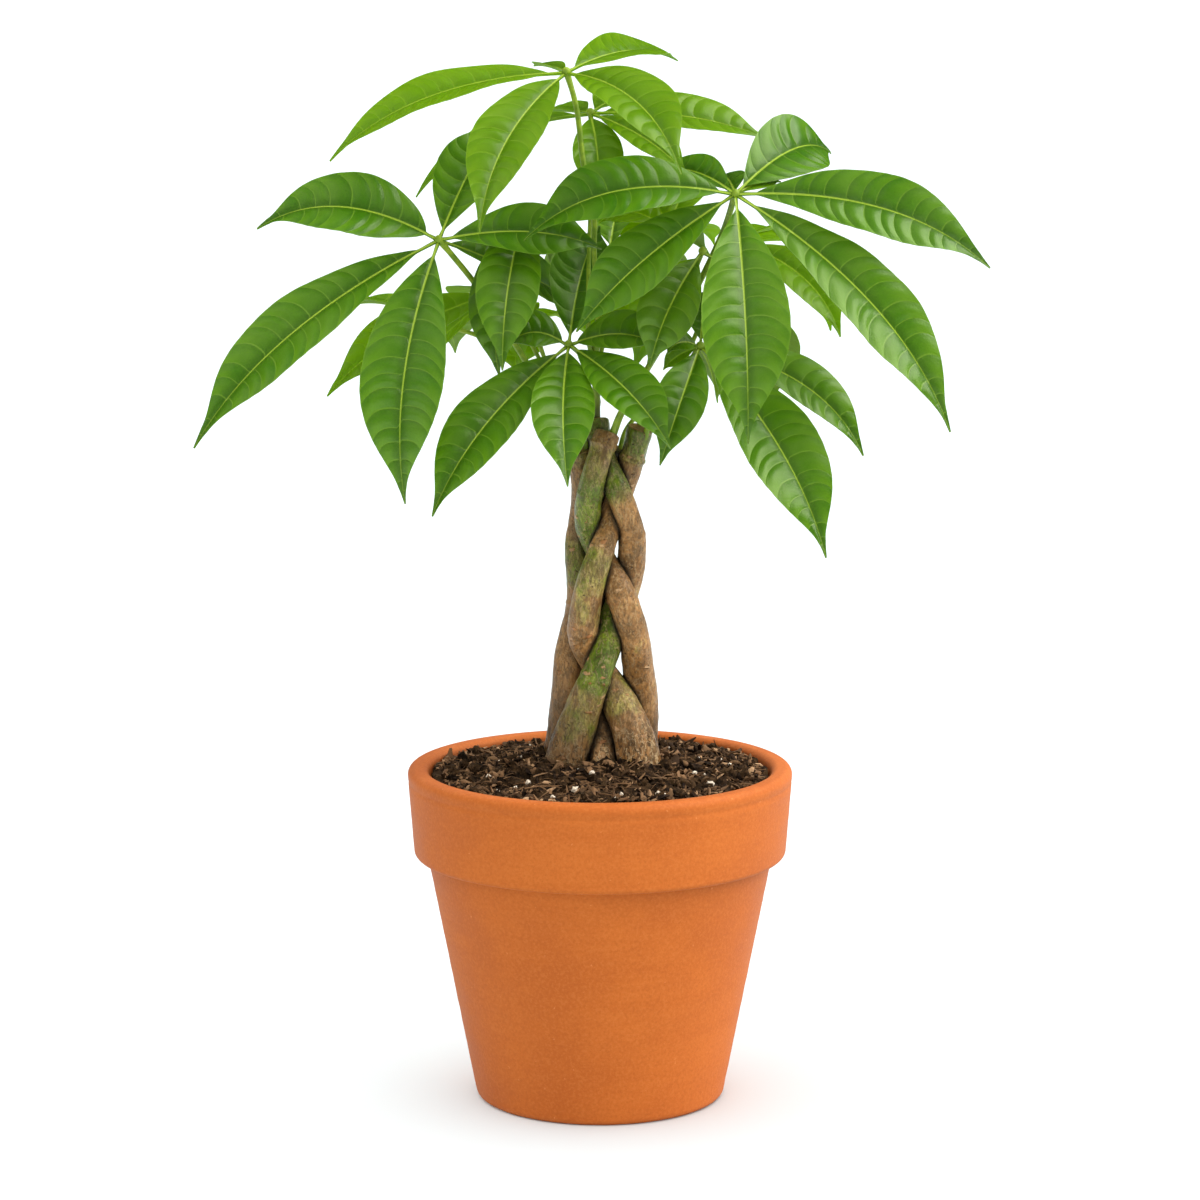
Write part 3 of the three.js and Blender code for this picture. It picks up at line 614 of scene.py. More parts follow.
def clay_material():
    """Terracotta: cloudy and banded, with grains of sand, and darker on the inner wall below the
    lip.
    """
    n = Nodes("terracotta")
    red, orange, dull = (0.420, 0.093, 0.0105), (0.505, 0.124, 0.0170), (0.425, 0.094, 0.0105)
    light_grain, dark_grain = (0.560, 0.165, 0.0340), (0.340, 0.074, 0.0100)
    dark_sand, pale_fleck, inner_dark = (0.320, 0.072, 0.0110), (0.70, 0.27, 0.085), (0.26, 0.062, 0.012)
    bands = n.noise(26, 4, 0.6, (0.25, 0.25, 7))
    clouds = n.noise(14, 5, 0.6)
    grains = n.noise(620, 4, 0.7)
    sand = n.noise(1500, 3, 0.6)
    colour = n.mix(n.ramp(clouds, 0.3, 0.7), red, orange)
    colour = n.mix(n.ramp(bands, 0.35, 0.7, 0, 0.4), colour, dull)
    colour = n.mix(n.ramp(grains, 0.50, 0.62, 0, 0.30), colour, light_grain)
    colour = n.mix(n.ramp(grains, 0.48, 0.38, 0, 0.30), colour, dark_grain)
    colour = n.mix(n.ramp(sand, 0.55, 0.7, 0, 0.25), colour, dark_sand)
    fleck, _ = n.spots(210, 0.07, 0.16, (1, 1, 1))
    colour = n.mix(n.times(fleck, 0.4), colour, pale_fleck)
    # Darker on the inner wall, fading out over the top 5 mm of the lip.
    height = n.node("SeparateXYZ", {0: n.place()}).outputs["Z"]
    rim_top = n.ramp(height, (POT_HEIGHT - 5) * MM, POT_HEIGHT * MM)
    inside = n.times(n.attribute("inner"), n.minus(1.0, rim_top))
    colour = n.mix(n.times(inside, 0.6), colour, inner_dark)
    turning = n.bump(n.noise(90, 3, 0.5, (0.1, 0.1, 6)), 0.00018, 0.4)
    normal = n.bump(grains, 0.00022, 0.6, turning)
    rough = n.ramp(clouds, 0.3, 0.7, 0.58, 0.7)
    return n.finish(n.surface(colour, rough, normal, 0.3, (1.0, 0.85, 0.65)))


def soil_material():
    n = Nodes("soil")
    black, brown, pale = (0.007, 0.0034, 0.0013), (0.060, 0.031, 0.012), (0.15, 0.085, 0.042)
    lumps = n.noise(160, 6, 0.65)
    fine = n.noise(700, 4, 0.6)
    colour = n.mix(n.ramp(lumps, 0.35, 0.65), black, brown)
    colour = n.mix(n.ramp(fine, 0.58, 0.70, 0, 0.6), colour, pale)
    normal = n.bump(fine, 0.0009, 0.8, n.bump(lumps, 0.002, 0.8))
    return n.finish(n.surface(colour, 0.95, normal, 0.12))


def chip_material():
    """Bark chips and roots: each has its own tone, and the lightest are straw-coloured."""
    n = Nodes("bark_chips")
    dark, light = (0.012, 0.0056, 0.0024), (0.200, 0.106, 0.048)
    straw, grey = (0.42, 0.25, 0.13), (0.10, 0.058, 0.030)
    tone = n.attribute("tone")
    grain = n.noise(420, 5, 0.6, (1, 1, 2))
    colour = n.mix(n.ramp(tone, 0.1, 0.9), dark, light)
    colour = n.mix(n.ramp(tone, 0.90, 0.97), colour, straw)
    colour = n.mix(n.ramp(grain, 0.5, 0.75, 0, 0.4), colour, grey)
    return n.finish(n.surface(colour, 0.85, n.bump(grain, 0.0006, 0.8), 0.15))


def perlite_material():
    n = Nodes("perlite")
    pores = n.noise(1400, 4, 0.6)
    colour = n.mix(n.ramp(pores, 0.35, 0.65), (0.50, 0.39, 0.27), (0.84, 0.74, 0.60))
    return n.finish(n.surface(colour, 0.9, n.bump(pores, 0.0004, 0.8)))


def bark_colour(n, edge, blotches, patches):
    """Brown bark that turns khaki and then olive towards the green stretches."""
    streaks = n.noise(300, 5, 0.6, (1.5, 1.5, 0.3))
    weak, strong = n.ramp(streaks, 0.52, 0.70, 0, 0.5), n.ramp(streaks, 0.35, 0.65)
    brown = n.mix(n.ramp(blotches, 0.35, 0.65), (0.225, 0.100, 0.026), (0.470, 0.230, 0.074))
    brown = n.mix(weak, brown, (0.58, 0.340, 0.140))
    brown = n.mix(n.ramp(patches, 0.50, 0.36, 0, 0.7), brown, (0.120, 0.062, 0.020))
    khaki = n.mix(strong, (0.180, 0.135, 0.026), (0.420, 0.330, 0.085))
    khaki = n.mix(n.ramp(patches, 0.50, 0.36, 0, 0.6), khaki, (0.090, 0.075, 0.018))
    olive = n.mix(n.ramp(patches, 0.35, 0.7), (0.046, 0.090, 0.002), (0.175, 0.235, 0.012))
    colour = n.mix(n.ramp(edge, 0.12, 0.5), brown, khaki)
    return n.mix(n.ramp(edge, 0.42, 0.82), colour, olive)


def bark_material():
    """Bark with wandering cracks and ridges, corky warts and pits, and painted shade in creases, low
    down and under the crown.
    """
    n = Nodes("bark")
    dark_grain, light_grain = (0.090, 0.050, 0.018), (0.58, 0.40, 0.18)
    dark_crack, light_ridge = (0.045, 0.024, 0.009), (0.66, 0.46, 0.24)
    red_wart, pale_wart, dark_pit = (0.36, 0.13, 0.036), (0.66, 0.40, 0.20), (0.045, 0.024, 0.010)
    brown_shade, green_shade = (0.050, 0.028, 0.009), (0.030, 0.036, 0.006)
    green, base = n.attribute("green"), n.attribute("base")
    blotches = n.noise(48, 4, 0.55)
    patches = n.noise(130, 5, 0.62, (1.0, 1.0, 0.6))
    grain = n.noise(800, 5, 0.65, (1.0, 1.0, 0.5))
    wander = n.plus(n.line(blotches, 0.3, 0.7, -0.25, 0.25), n.line(patches, 0.3, 0.7, -0.3, 0.3))
    edge = n.plus(green, wander)
    colour = bark_colour(n, edge, blotches, patches)
    colour = n.mix(n.ramp(grain, 0.50, 0.38, 0, 0.6), colour, dark_grain)
    colour = n.mix(n.ramp(grain, 0.56, 0.68, 0, 0.4), colour, light_grain)
    rugged = n.ramp(base, 0.0, 0.7, 0.35, 1.0)
    crack = n.times(n.contour(185, 0.47, 0.036, (1.6, 1.6, 0.7)), rugged)
    ridge = n.times(n.contour(165, 0.53, 0.030, (1.4, 1.4, 0.75)), rugged)
    colour = n.mix(n.times(crack, 0.85), colour, dark_crack)
    colour = n.mix(n.times(ridge, 0.65), colour, light_ridge)
    wart, pale = n.spots(150, 0.17, 0.40, (0.9, 0.9, 1.6))
    colour = n.mix(n.times(wart, 0.8), colour, n.mix(pale, red_wart, pale_wart))
    pit, _ = n.spots(240, 0.10, 0.18, (1.0, 1.0, 1.5))
    colour = n.mix(n.times(pit, 0.8), colour, dark_pit)
    # Painted shade low on the stems and towards their tops under the crown.
    colour = n.mix(n.attribute("shade"), colour, n.mix(green, brown_shade, green_shade))
    # Painted shade in the creases where stems press together.
    deep = n.ramp(n.attribute("crease"), 0.0, 1.0, 0.0, 0.95)
    colour = n.mix(deep, colour, (0.010, 0.006, 0.003))
    height = n.plus(n.times(grain, 0.5), n.minus(wart, pit))
    normal = n.bump(n.minus(n.plus(height, ridge), crack), 0.0006, 0.9)
    rough = n.ramp(edge, 0.3, 0.8, 0.40, 0.30)
    return n.finish(n.surface(colour, rough, normal, 0.5, (1.0, 0.92, 0.75)))


def stalk_material():
    n = Nodes("green_stalk")
    dark, light, woody = (0.135, 0.225, 0.008), (0.25, 0.35, 0.018), (0.085, 0.095, 0.018)
    green = n.mix(n.ramp(n.noise(180, 4), 0.35, 0.65), dark, light)
    colour = n.mix(n.ramp(n.attribute("old"), 0.0, 1.0), green, woody)
    return n.finish(n.surface(colour, 0.45, n.bump(n.noise(900, 3), 0.0002, 0.5), 0.3))


def leaf_colour(n, tone, net, vein, clouds):
    """Panels between side veins with painted shade at their start and a painted highlight towards
    their end, painted shade by the midrib, pale veins and midrib, and painted rim light on the
    margin.
    """
    rib, across, along = n.attribute("rib"), n.attribute("across"), n.attribute("along")
    panel = n.math("FRACT", n.attribute("vein"))
    lighter = n.mix(tone, (0.070, 0.212, 0.0006), (0.225, 0.385, 0.0008))
    darker = n.mix(tone, (0.010, 0.066, 0.0003), (0.085, 0.190, 0.0005))
    pale = n.mix(tone, (0.110, 0.235, 0.014), (0.27, 0.42, 0.018))
    midrib = n.mix(tone, (0.29, 0.43, 0.030), (0.44, 0.58, 0.04))
    below = n.mix(tone, (0.080, 0.160, 0.012), (0.185, 0.300, 0.012))
    mottle = n.line(n.plus(tone, n.line(clouds, 0.3, 0.7, -0.14, 0.14)), 0.0, 1.0)
    top = n.mix(mottle, (0.023, 0.120, 0.0003), (0.152, 0.298, 0.0005))
    outward, inward = n.ramp(across, 0.25, 0.85, 0.1, 0.75), n.ramp(across, 1.0, 0.3)
    # Painted highlight towards each panel's end, more so away from the midrib.
    top = n.mix(n.times(n.ramp(panel, 0.1, 0.95), outward), top, lighter)
    # Painted shade at each panel's start, near the midrib.
    top = n.mix(n.times(n.ramp(panel, 0.35, 0.02, 0.0, 0.35), inward), top, darker)
    # Painted shade along the midrib.
    top = n.mix(n.ramp(rib, 1.2, 5.0, 0.6, 0.0), top, darker)
    colour = n.mix(n.attribute("under"), top, below)
    colour = n.mix(n.ramp(net, 0.0, 0.09, 0.16, 0.0), colour, pale)
    fade = n.ramp(across, 0.45, 1.0, 0.64, 0.2)
    colour = n.mix(n.times(n.ramp(vein, 0.012, 0.042, 1.0, 0.0), fade), colour, pale)
    thick = n.line(along, 0.0, 1.0, 0.75, 0.22)
    near = n.ramp(n.math("DIVIDE", rib, thick), 0.5, 1.1, 1.0, 0.0)
    colour = n.mix(n.times(near, n.ramp(along, 0.55, 0.95, 1.0, 0.35)), colour, midrib)
    # Painted rim light along the margin.
    return n.mix(n.ramp(across, 0.95, 1.0, 0.0, 0.55), colour, pale)


def leaf_material():
    """A glossy blade that also lets light through, the more the younger it is."""
    n = Nodes("leaf")
    tone, clouds = n.attribute("tone"), n.noise(55, 4)
    vein = n.math("PINGPONG", n.attribute("vein"), 0.5)
    net = n.node("TexVoronoi", {"Vector": n.place(), "Scale": 620.0}, feature="DISTANCE_TO_EDGE")
    colour = leaf_colour(n, tone, net, vein, clouds)
    crisp = n.bump(n.ramp(vein, 0.0, 0.13), 0.00020, 0.5)
    normal = n.bump(net, 0.0002, 0.3, n.bump(n.noise(420, 4), 0.00025, 0.35, crisp))
    rough = n.ramp(n.attribute("under"), 0, 1, 0.33, 0.62)
    rough = n.plus(rough, n.ramp(clouds, 0.3, 0.7, -0.04, 0.07))
    gloss = n.surface(colour, rough, normal, 0.64, (0.95, 1.0, 0.66))
    glow = n.mix(tone, (0.16, 0.36, 0.002), (0.44, 0.64, 0.006))
    through = n.node("BsdfTranslucent", {"Color": glow, "Normal": normal})
    share = n.ramp(tone, 0.2, 1.0, 0.2, 0.58)
    return n.finish(n.node("MixShader", {0: share, 1: gloss, 2: through}))

# ---- pot ----


def corner(centre, radius, start, end, steps):
    turns = np.radians(np.linspace(start, end, steps + 1))
    return [(centre[0] + radius * math.cos(a), centre[1] + radius * math.sin(a)) for a in turns]


def pot_inside(z):
    flare = RIM_RADIUS - LIP_WIDTH - FLOOR_RADIUS
    return FLOOR_RADIUS + flare * (z - FLOOR) / (POT_HEIGHT - FLOOR)


def band_radius(z):
    share = (z - RIM_FOOT_HEIGHT) / (POT_HEIGHT - LIP_ROUND - RIM_FOOT_HEIGHT)
    return RIM_FOOT_RADIUS + (RIM_RADIUS - RIM_FOOT_RADIUS) * share


def pot_profile():
    """Radius and height round the wall, from the middle of the underside to that of the floor."""
    foot, cove = BASE_RADIUS - FOOT_ROUND, RIM_FOOT_HEIGHT - COVE_ROUND
    lip = POT_HEIGHT - LIP_ROUND
    outline = [(0, 0), (foot - FOOT_WIDTH, 0), *corner((foot, FOOT_ROUND), FOOT_ROUND, -90, -8, 8)]
    outline += [(SHOULDER_RADIUS, cove)]
    outline += corner((SHOULDER_RADIUS + COVE_ROUND, cove), COVE_ROUND, 180, 90, 6)
    band_foot = (RIM_FOOT_RADIUS - BAND_ROUND, RIM_FOOT_HEIGHT + BAND_ROUND)
    outline += corner(band_foot, BAND_ROUND, -90, 0, 8)
    groove = POT_HEIGHT - GROOVE_DROP
    for z, depth in ((groove - 1, 0), (groove, GROOVE_DEPTH), (groove + 1, 0)):
        outline.append((band_radius(z) - depth, z))
    outline += corner((RIM_RADIUS - LIP_ROUND, lip), LIP_ROUND, 0, 90, 10)
    outline += corner((RIM_RADIUS - LIP_WIDTH + LIP_ROUND, lip), LIP_ROUND, 90, 180, 10)
    heel = FLOOR + HEEL_ROUND
    outline += [(pot_inside(heel), heel), (pot_inside(FLOOR) - HEEL_ROUND, FLOOR), (0, FLOOR)]
    fine = []
    for (r0, z0), (r1, z1) in zip(outline, outline[1:]):
        steps = max(1, round(math.dist((r0, z0), (r1, z1)) / POT_STEP))
        fine += [(r0 + (r1 - r0) * k / steps, z0 + (z1 - z0) * k / steps) for k in range(steps)]
    return fine


def drill_drains(pot):
    for k in range(DRAIN_COUNT):
        turn = 2 * math.pi * (k + 0.25) / DRAIN_COUNT
        place = (DRAIN_RING * math.cos(turn) * MM, DRAIN_RING * math.sin(turn) * MM, 0)
        bpy.ops.mesh.primitive_cylinder_add(
            vertices=32, radius=DRAIN_RADIUS * MM, depth=4 * FLOOR * MM, location=place
        )
        drill = bpy.context.object
        cut = pot.modifiers.new("drain", "BOOLEAN")
        cut.operation, cut.solver, cut.object = "DIFFERENCE", "EXACT", drill
        bpy.context.view_layer.objects.active = pot
        bpy.ops.object.modifier_apply(modifier=cut.name)
        bpy.data.objects.remove(drill)


def make_pot(material):
    profile = np.array(pot_profile()[1:])
    turns = around(POT_SIDES)
    points = []
    for r, z in profile:
        places = [Vector((math.cos(t) * 0.9, math.sin(t) * 0.9, z * 0.16)) for t in turns]
        ripple = np.array([THROWING_RIPPLE * noise.noise(place) for place in places])
        points.append(circle(turns, r + ripple * min(1, z / 3), z))
    points = np.vstack(points + [[[0, 0, 0]], [[0, 0, FLOOR]]])
    late = np.arange(len(profile)) > len(profile) // 2
    within = (profile[:, 0] <= RIM_RADIUS - LIP_WIDTH + 0.5) & late
    inner = np.concatenate([np.repeat(within.astype(float), POT_SIDES), [0, 1]])
    faces = closed_faces(len(profile), POT_SIDES)
    pot = new_mesh_piece("clay_pot", points, faces, material, "clay", ["pot"], {"inner": inner})
    drill_drains(pot)


# ---- soil ----


def soil_level(x, y):
    """Height of the soil: the solid's surface, with crumbs drawn up a little against the wall."""
    reach = np.hypot(x, y) / pot_inside(SOIL_EDGE)
    turn = np.arctan2(x, -y)
    bank = BANK_RISE * smooth_step(0.72, 0.97, reach) * (0.75 + 0.35 * np.sin(3 * turn + 0.6))
    heap = (SOIL_CROWN - SOIL_EDGE) * (1 - smooth_step(0.25, 1, reach))
    waves = np.sin(x * 0.31 + 1.3) * np.cos(y * 0.27 - 0.4)
    swells = np.sin(x * 0.13 - y * 0.19 + 2)
    lumps = SOIL_LUMP * (waves + swells) / 2 * (1 - np.minimum(reach, 1) ** 4)
    return SOIL_EDGE + heap + lumps + bank


def soil_rough(x, y):
    """Unevenness of the bed's surface, by a slow and a quick noise."""
    slow = SOIL_ROUGH * noise.noise(Vector((x * 0.13, y * 0.13, 3)))
    return slow + SOIL_CRUMB * noise.noise(Vector((x * 0.4, y * 0.4, 7)))


def make_soil_bed(material):
    turns = around(SOIL_SIDES)
    edge, heel = pot_inside(SOIL_EDGE) - GAP, FLOOR + HEEL_ROUND
    points = [
        circle(turns, pot_inside(FLOOR) - HEEL_ROUND, FLOOR + GAP),
        circle(turns, pot_inside(heel) - GAP, heel),
        circle(turns, edge - 1, SOIL_EDGE - 4),
    ]
    for r in range(SOIL_RINGS):
        ring = circle(turns, edge * (1 - r / SOIL_RINGS), 0.0)
        rough = np.array([soil_rough(x, y) for x, y, _ in ring])
        ring[:, 2] = soil_level(ring[:, 0], ring[:, 1]) + rough
        points.append(ring)
    faces = closed_faces(len(points), SOIL_SIDES)
    points = np.vstack(points + [[[0, 0, FLOOR + GAP]], [[0, 0, soil_level(0, 0)]]])
    new_mesh_piece("soil_bed", points, faces, material, "soil", ["soil"])


def scatter(count, reach=0.965):
    """Places spread evenly over the soil, clear of the stems' feet."""
    feet = np.array([stem["route"][1][:2] for stem in STEMS], float)
    places = []
    while len(places) < count:
        radius = pot_inside(SOIL_EDGE) * reach * math.sqrt(rng.random())
        turn = rng.random() * 2 * math.pi
        spot = np.array([radius * math.sin(turn), -radius * math.cos(turn)])
        if np.min(np.linalg.norm(feet - spot, axis=1)) > STEM_CLEARANCE:
            places.append((*spot, float(soil_level(*spot))))
    return places


def turned(points, tilt):
    """Points turned about the upright and then tipped over by up to tilt radians."""
    a, b, c = rng.random() * 2 * np.pi, rng.normal() * tilt, rng.normal() * tilt
    turn_z = np.array([[math.cos(a), -math.sin(a), 0], [math.sin(a), math.cos(a), 0], [0, 0, 1]])
    turn_x = np.array([[1, 0, 0], [0, math.cos(b), -math.sin(b)], [0, math.sin(b), math.cos(b)]])
    turn_y = np.array([[math.cos(c), 0, math.sin(c)], [0, 1, 0], [-math.sin(c), 0, math.cos(c)]])
    return points @ turn_x.T @ turn_y.T @ turn_z.T


def lump(size, squash, rough, rows=7, sides=10):
    """Points and faces of one uneven, rounded crumb about the origin."""
    offset = rng.random(3) * 50
    ways, faces = ball(rows, sides)
    uneven = [1 + rough * noise.noise(Vector(way * 1.7 + offset)) for way in ways]
    return np.array([way * size * squash * k for way, k in zip(ways, uneven)]), faces


def add_chip(builder, x, y, z):
    """One torn, slightly curved flake of bark."""
    length = 1.6 + 8.5 * rng.random() ** 2.4
    width = 0.9 + 0.3 * length * rng.random() + 0.5
    sides = 6
    turns = around(sides)
    curl = rng.normal(0, 0.12) * length
    rings = []
    for level, share in ((-0.95, 0.35), (-0.5, 1.0), (0.2, 0.9), (0.95, 0.3)):
        jag = width / 2 * share * (0.65 + 0.7 * rng.random(sides))
        along = level * length / 2 + rng.normal(0, 0.022, sides) * length
        flat = 0.35 + 0.4 * rng.random()
        upward = np.sin(turns) * jag * flat - curl * level**2
        rings.append(np.stack([along, np.cos(turns) * jag, upward], 1))
    body = turned(np.vstack(rings), 0.62) + (x, y, z + 0.2 + 2.0 * rng.random())
    faces = ring_faces(4, sides).tolist() + [[5, 4, 3, 2, 1, 0], [18, 19, 20, 21, 22, 23]]
    builder.add(body, faces, tone=rng.random())


def add_fibre(builder, x, y, z):
    """One thin root, curling over the soil."""
    length = 5 + 13 * rng.random()
    t = np.linspace(0, 1, 12)
    heading = rng.normal(0, 1.1) * t + rng.normal(0, 0.9) * np.sin(2.6 * t + rng.random() * 6)
    rise = np.sin(np.pi * t) * (0.4 + 2.2 * rng.random() ** 2)
    step = length / 11
    line = np.stack([np.cumsum(np.cos(heading)) * step, np.cumsum(np.sin(heading)) * step, rise], 1)
    line = turned(line - line.mean(0), 0.12) + (x, y, z + 1.5)
    reach = np.hypot(line[:, 0], line[:, 1]) / (pot_inside(SOIL_EDGE) - 1.5)
    line[:, :2] /= np.maximum(reach, 1)[:, None]
    thick = (0.17 + 0.26 * rng.random() ** 2) * (1 - 0.5 * t)
    add_tube(builder, line, thick, 5, tone=0.25 + 0.7 * rng.random())


def add_clod(builder, x, y, z):
    size = 1.1 + 2.7 * rng.random() ** 2.5
    points, faces = lump(size, (1, 0.9, 0.75), 0.8, 8, 12)
    builder.add(turned(points, 0.8) + (x, y, z + 0.35 * size), faces)


def make_soil_litter(soil, chip, grain):
    for name, material, add, places in (
        ("soil_clods", soil, add_clod, (CLODS, 0.95)),
        ("soil_bark_chips", chip, add_chip, (CHIPS,)),
        ("soil_fibres", chip, add_fibre, (FIBRES, 0.93)),
    ):
        litter = Builder()
        for x, y, z in scatter(*places):
            add(litter, x, y, z)
        litter.piece(name, material, "soil")

    grains = Builder()
    loose = [(x, y, 0.6 + 0.9 * rng.random() ** 2) for x, y, _ in scatter(LOOSE_GRAINS, 0.93)]
    for x, y, size in PERLITE + loose:
        points, faces = lump(size, (1, 0.85, 0.75), 0.7)
        place = (x, y, float(soil_level(x, y)) + 1.6 + 0.3 * size)
        grains.add(turned(points, 0.6) + place, faces)
    grains.piece("soil_perlite", grain, "soil")


# ---- stems ----


def stem_radius(stem, z):
    thinning = smooth_step(STEM_BODY_HEIGHT, stem["route"][-1][2], z)
    flare = 1 - smooth_step(SOIL_EDGE, STEM_BODY_HEIGHT, z)
    body = STEM_BODY_RADIUS + (STEM_TOP_RADIUS - STEM_BODY_RADIUS) * thinning
    return stem["girth"] * (body + (STEM_SOIL_RADIUS - STEM_BODY_RADIUS) * flare)


def nearest_on(points, line):
    """For each point, the nearest place on a line through places."""
    a, b = line[:-1], line[1:]
    way = b - a
    share = ((points[:, None] - a) * way).sum(-1) / (way**2).sum(-1)
    spots = a + way * np.clip(share, 0, 1)[..., None]
    pick = np.linalg.norm(points[:, None] - spots, axis=-1).argmin(1)
    return spots[np.arange(len(points)), pick]


def ease_apart(routes):
    """The routes, each pushed a little away from the stems that it overlaps, as in the source."""
    moved = []
    for s, route in enumerate(routes):
        move = np.zeros_like(route)
        for o, other in enumerate(routes):
            if o == s:
                continue
            near = nearest_on(route, other)
            room = np.linalg.norm(route - near, axis=1)
            need = stem_radius(STEMS[s], route[:, 2]) + stem_radius(STEMS[o], near[:, 2]) + GAP
            push = (route - near) * (1, 1, 0)
            push = push / np.maximum(np.linalg.norm(push, axis=1, keepdims=True), 1e-9)
            move += push * (np.maximum(need - room, 0) / 3)[:, None]
        before = np.vstack([move[:1], move[:-1]])
        after = np.vstack([move[1:], move[-1:]])
        moved.append(route + (before + after) / 4 + move / 2)
    return moved


def grown_stems():
    """Centre line and radii of each stem: the source's, drawn a little straighter and tighter."""
    routes = [curve_points(stem["route"], STEM_STATIONS) for stem in STEMS]
    for _ in range(EASING_ROUNDS):
        routes = ease_apart(routes)
    for _ in range(STRAIGHTENING_ROUNDS):
        for route in routes:
            route[1:-1, :2] += ((route[:-2] + route[2:]) / 2 - route[1:-1])[:, :2] / 2
    for route in routes:
        route[:, 0] *= GATHER
    grown = []
    for s, (stem, route) in enumerate(zip(STEMS, routes)):
        radii = stem_radius(stem, route[:, 2])
        for o, other in enumerate(routes):
            if o != s:
                room = np.linalg.norm(route - nearest_on(route, other), axis=1)
                share = stem["girth"] / (stem["girth"] + STEMS[o]["girth"])
                radii = np.minimum(radii, room * share + PRESS)
        grown.append((route, radii))
    return grown


def bark_noise(turn, z, across, along, shift):
    place = (math.cos(turn) * across + shift, math.sin(turn) * across, z * along)
    return noise.noise(Vector(place))


def stem_shape(points, thick, swell, foot, seed):
    """A function that gives how far the bark stands out round one ring of a stem."""

    def shape(i, turns):
        z, bumps = points[i, 2], []
        for t in turns:
            slow = bark_noise(t, z, 0.8, 0.035, seed)
            knots = bark_noise(t, z, 2.2, 0.14, seed)
            grain = bark_noise(t, z, 7, 0.1, seed)
            flakes = bark_noise(t, z, 9, 0.35, seed)
            folds = 1 - 2 * abs(bark_noise(t, z, 3.5, 0.09, -seed))
            fine = (0.12 + 0.4 * foot[i]) * grain + 0.1 * flakes + (0.14 + 0.3 * foot[i]) * folds**3
            bumps.append(0.3 * slow + 0.26 * knots + fine)
        lobes = 0.8 * np.cos(3 * turns + seed) + 0.5 * np.cos(5 * turns + 2 * seed)
        return 1 + (np.array(bumps) + foot[i] * lobes + swell[i]) / thick[i]

    return shape


def closeness(points, s, grown):
    """1 where a point of one stem's bark lies against another stem, 0 from CREASE_REACH away: how
    much painted shade its crease gets.
    """
    close = np.zeros(len(points))
    # stem_front reaches twice as far, for deeper painted shade where it lies back between the feet.
    reach = CREASE_REACH * (2 if STEMS[s]["name"] == "stem_front" else 1)
    for o, (route, radii) in enumerate(grown):
        if o != s:
            line = curve_points(route, 90)
            thick = np.interp(line[:, 2], route[:, 2], radii)
            room = np.full(len(points), 1e9)
            for spot, radius in zip(line, thick):
                room = np.minimum(room, np.linalg.norm(points - spot, axis=1) - radius)
            close = np.maximum(close, 1 - smooth_step(0.2, reach, room))
    return close


def bell(values, centre, reach, power=2):
    return np.exp(-(((values - centre) / reach) ** power))


def make_stem(s, grown, material):
    stem, (route, radii) = STEMS[s], grown[s]
    points = curve_points(route, STEM_STEPS)
    height = points[:, 2]
    thick = np.pad(np.interp(height, route[:, 2], radii), STEM_EASE // 2, mode="edge")
    thick = np.convolve(thick, np.ones(STEM_EASE) / STEM_EASE, mode="valid") * STEM_SWELL
    swell = CUT_SWELL * bell(height, height[-1] - 2.5, CUT_REACH)
    for level, proud in stem["scars"]:
        swell += proud * bell(height, level, SCAR_REACH)
    foot = 1 - smooth_step(SOIL_EDGE + ROOT_FLARE[0], SOIL_EDGE + ROOT_FLARE[1], height)
    shape = stem_shape(points, thick, swell, foot, 10.0 * s + 3)
    rings = tube_rings(points, thick, STEM_SIDES, shape)
    way = unit(points[-1] - points[-3])
    top = rings[-1] - points[-1]
    dome = ((0.85, 0.6), (0.6, 0.35), (0.3, 0.15))
    caps = [points[-1] + top * inset + way * lift for inset, lift in dome]
    body = np.vstack([rings.reshape(-1, 3), *caps, points[0], points[-1] + way * 0.1])

    green = np.zeros(len(height))
    for level, reach, strength in stem["green"]:
        green = np.maximum(green, strength * bell(height, level, reach, 4))
    # Painted shade: the foot's amount gives way to the trunk's, and it deepens towards the cut top
    # under the crown.
    low, high = stem["shade"]
    settled = smooth_step(SOIL_EDGE + SHADE_FADE[0], SOIL_EDGE + SHADE_FADE[1], height)
    shade = high + (low - high) * (1 - settled)
    shade = np.maximum(shade, CANOPY_SHADE * smooth_step(height[-1] - 30, height[-1] + 5, height))

    def spread(values, end=0.0):
        flank = np.repeat(values, STEM_SIDES)
        return np.concatenate([flank, np.full(len(body) - len(flank), end)])

    values = {"green": spread(green), "base": spread(foot), "shade": spread(shade, CANOPY_SHADE)}
    values["crease"] = closeness(body, s, grown)
    faces = closed_faces(len(rings) + len(caps), STEM_SIDES)
    new_mesh_piece("bark_" + stem["name"], body, faces, material, "bark", [stem["name"]], values)

# ---- leaves ----


def half_width(share, half, widest):
    """Half the blade's width along it: a narrow root, a full middle and a drawn-out drip tip."""
    s = np.maximum((share - 0.05) / 0.95, 0)
    pointed = 0.95 + 1.1 * np.maximum((s - 0.45) / 0.55, 0) ** 1.5
    bow = np.maximum(np.sin(np.pi * s ** (math.log(0.5) / math.log(widest))), 0)
    full = half * bow**pointed
    drip = (TIP_HALF + DRIP_HALF * np.minimum((1 - share) / DRIP_SHARE, 1)) * min(half / 15, 1)
    root = STEM_HALF * (1 - 0.3 * smooth_step(0, 0.05, share))
    return np.where(share < 0.5, np.maximum(full, root), np.hypot(full, drip))


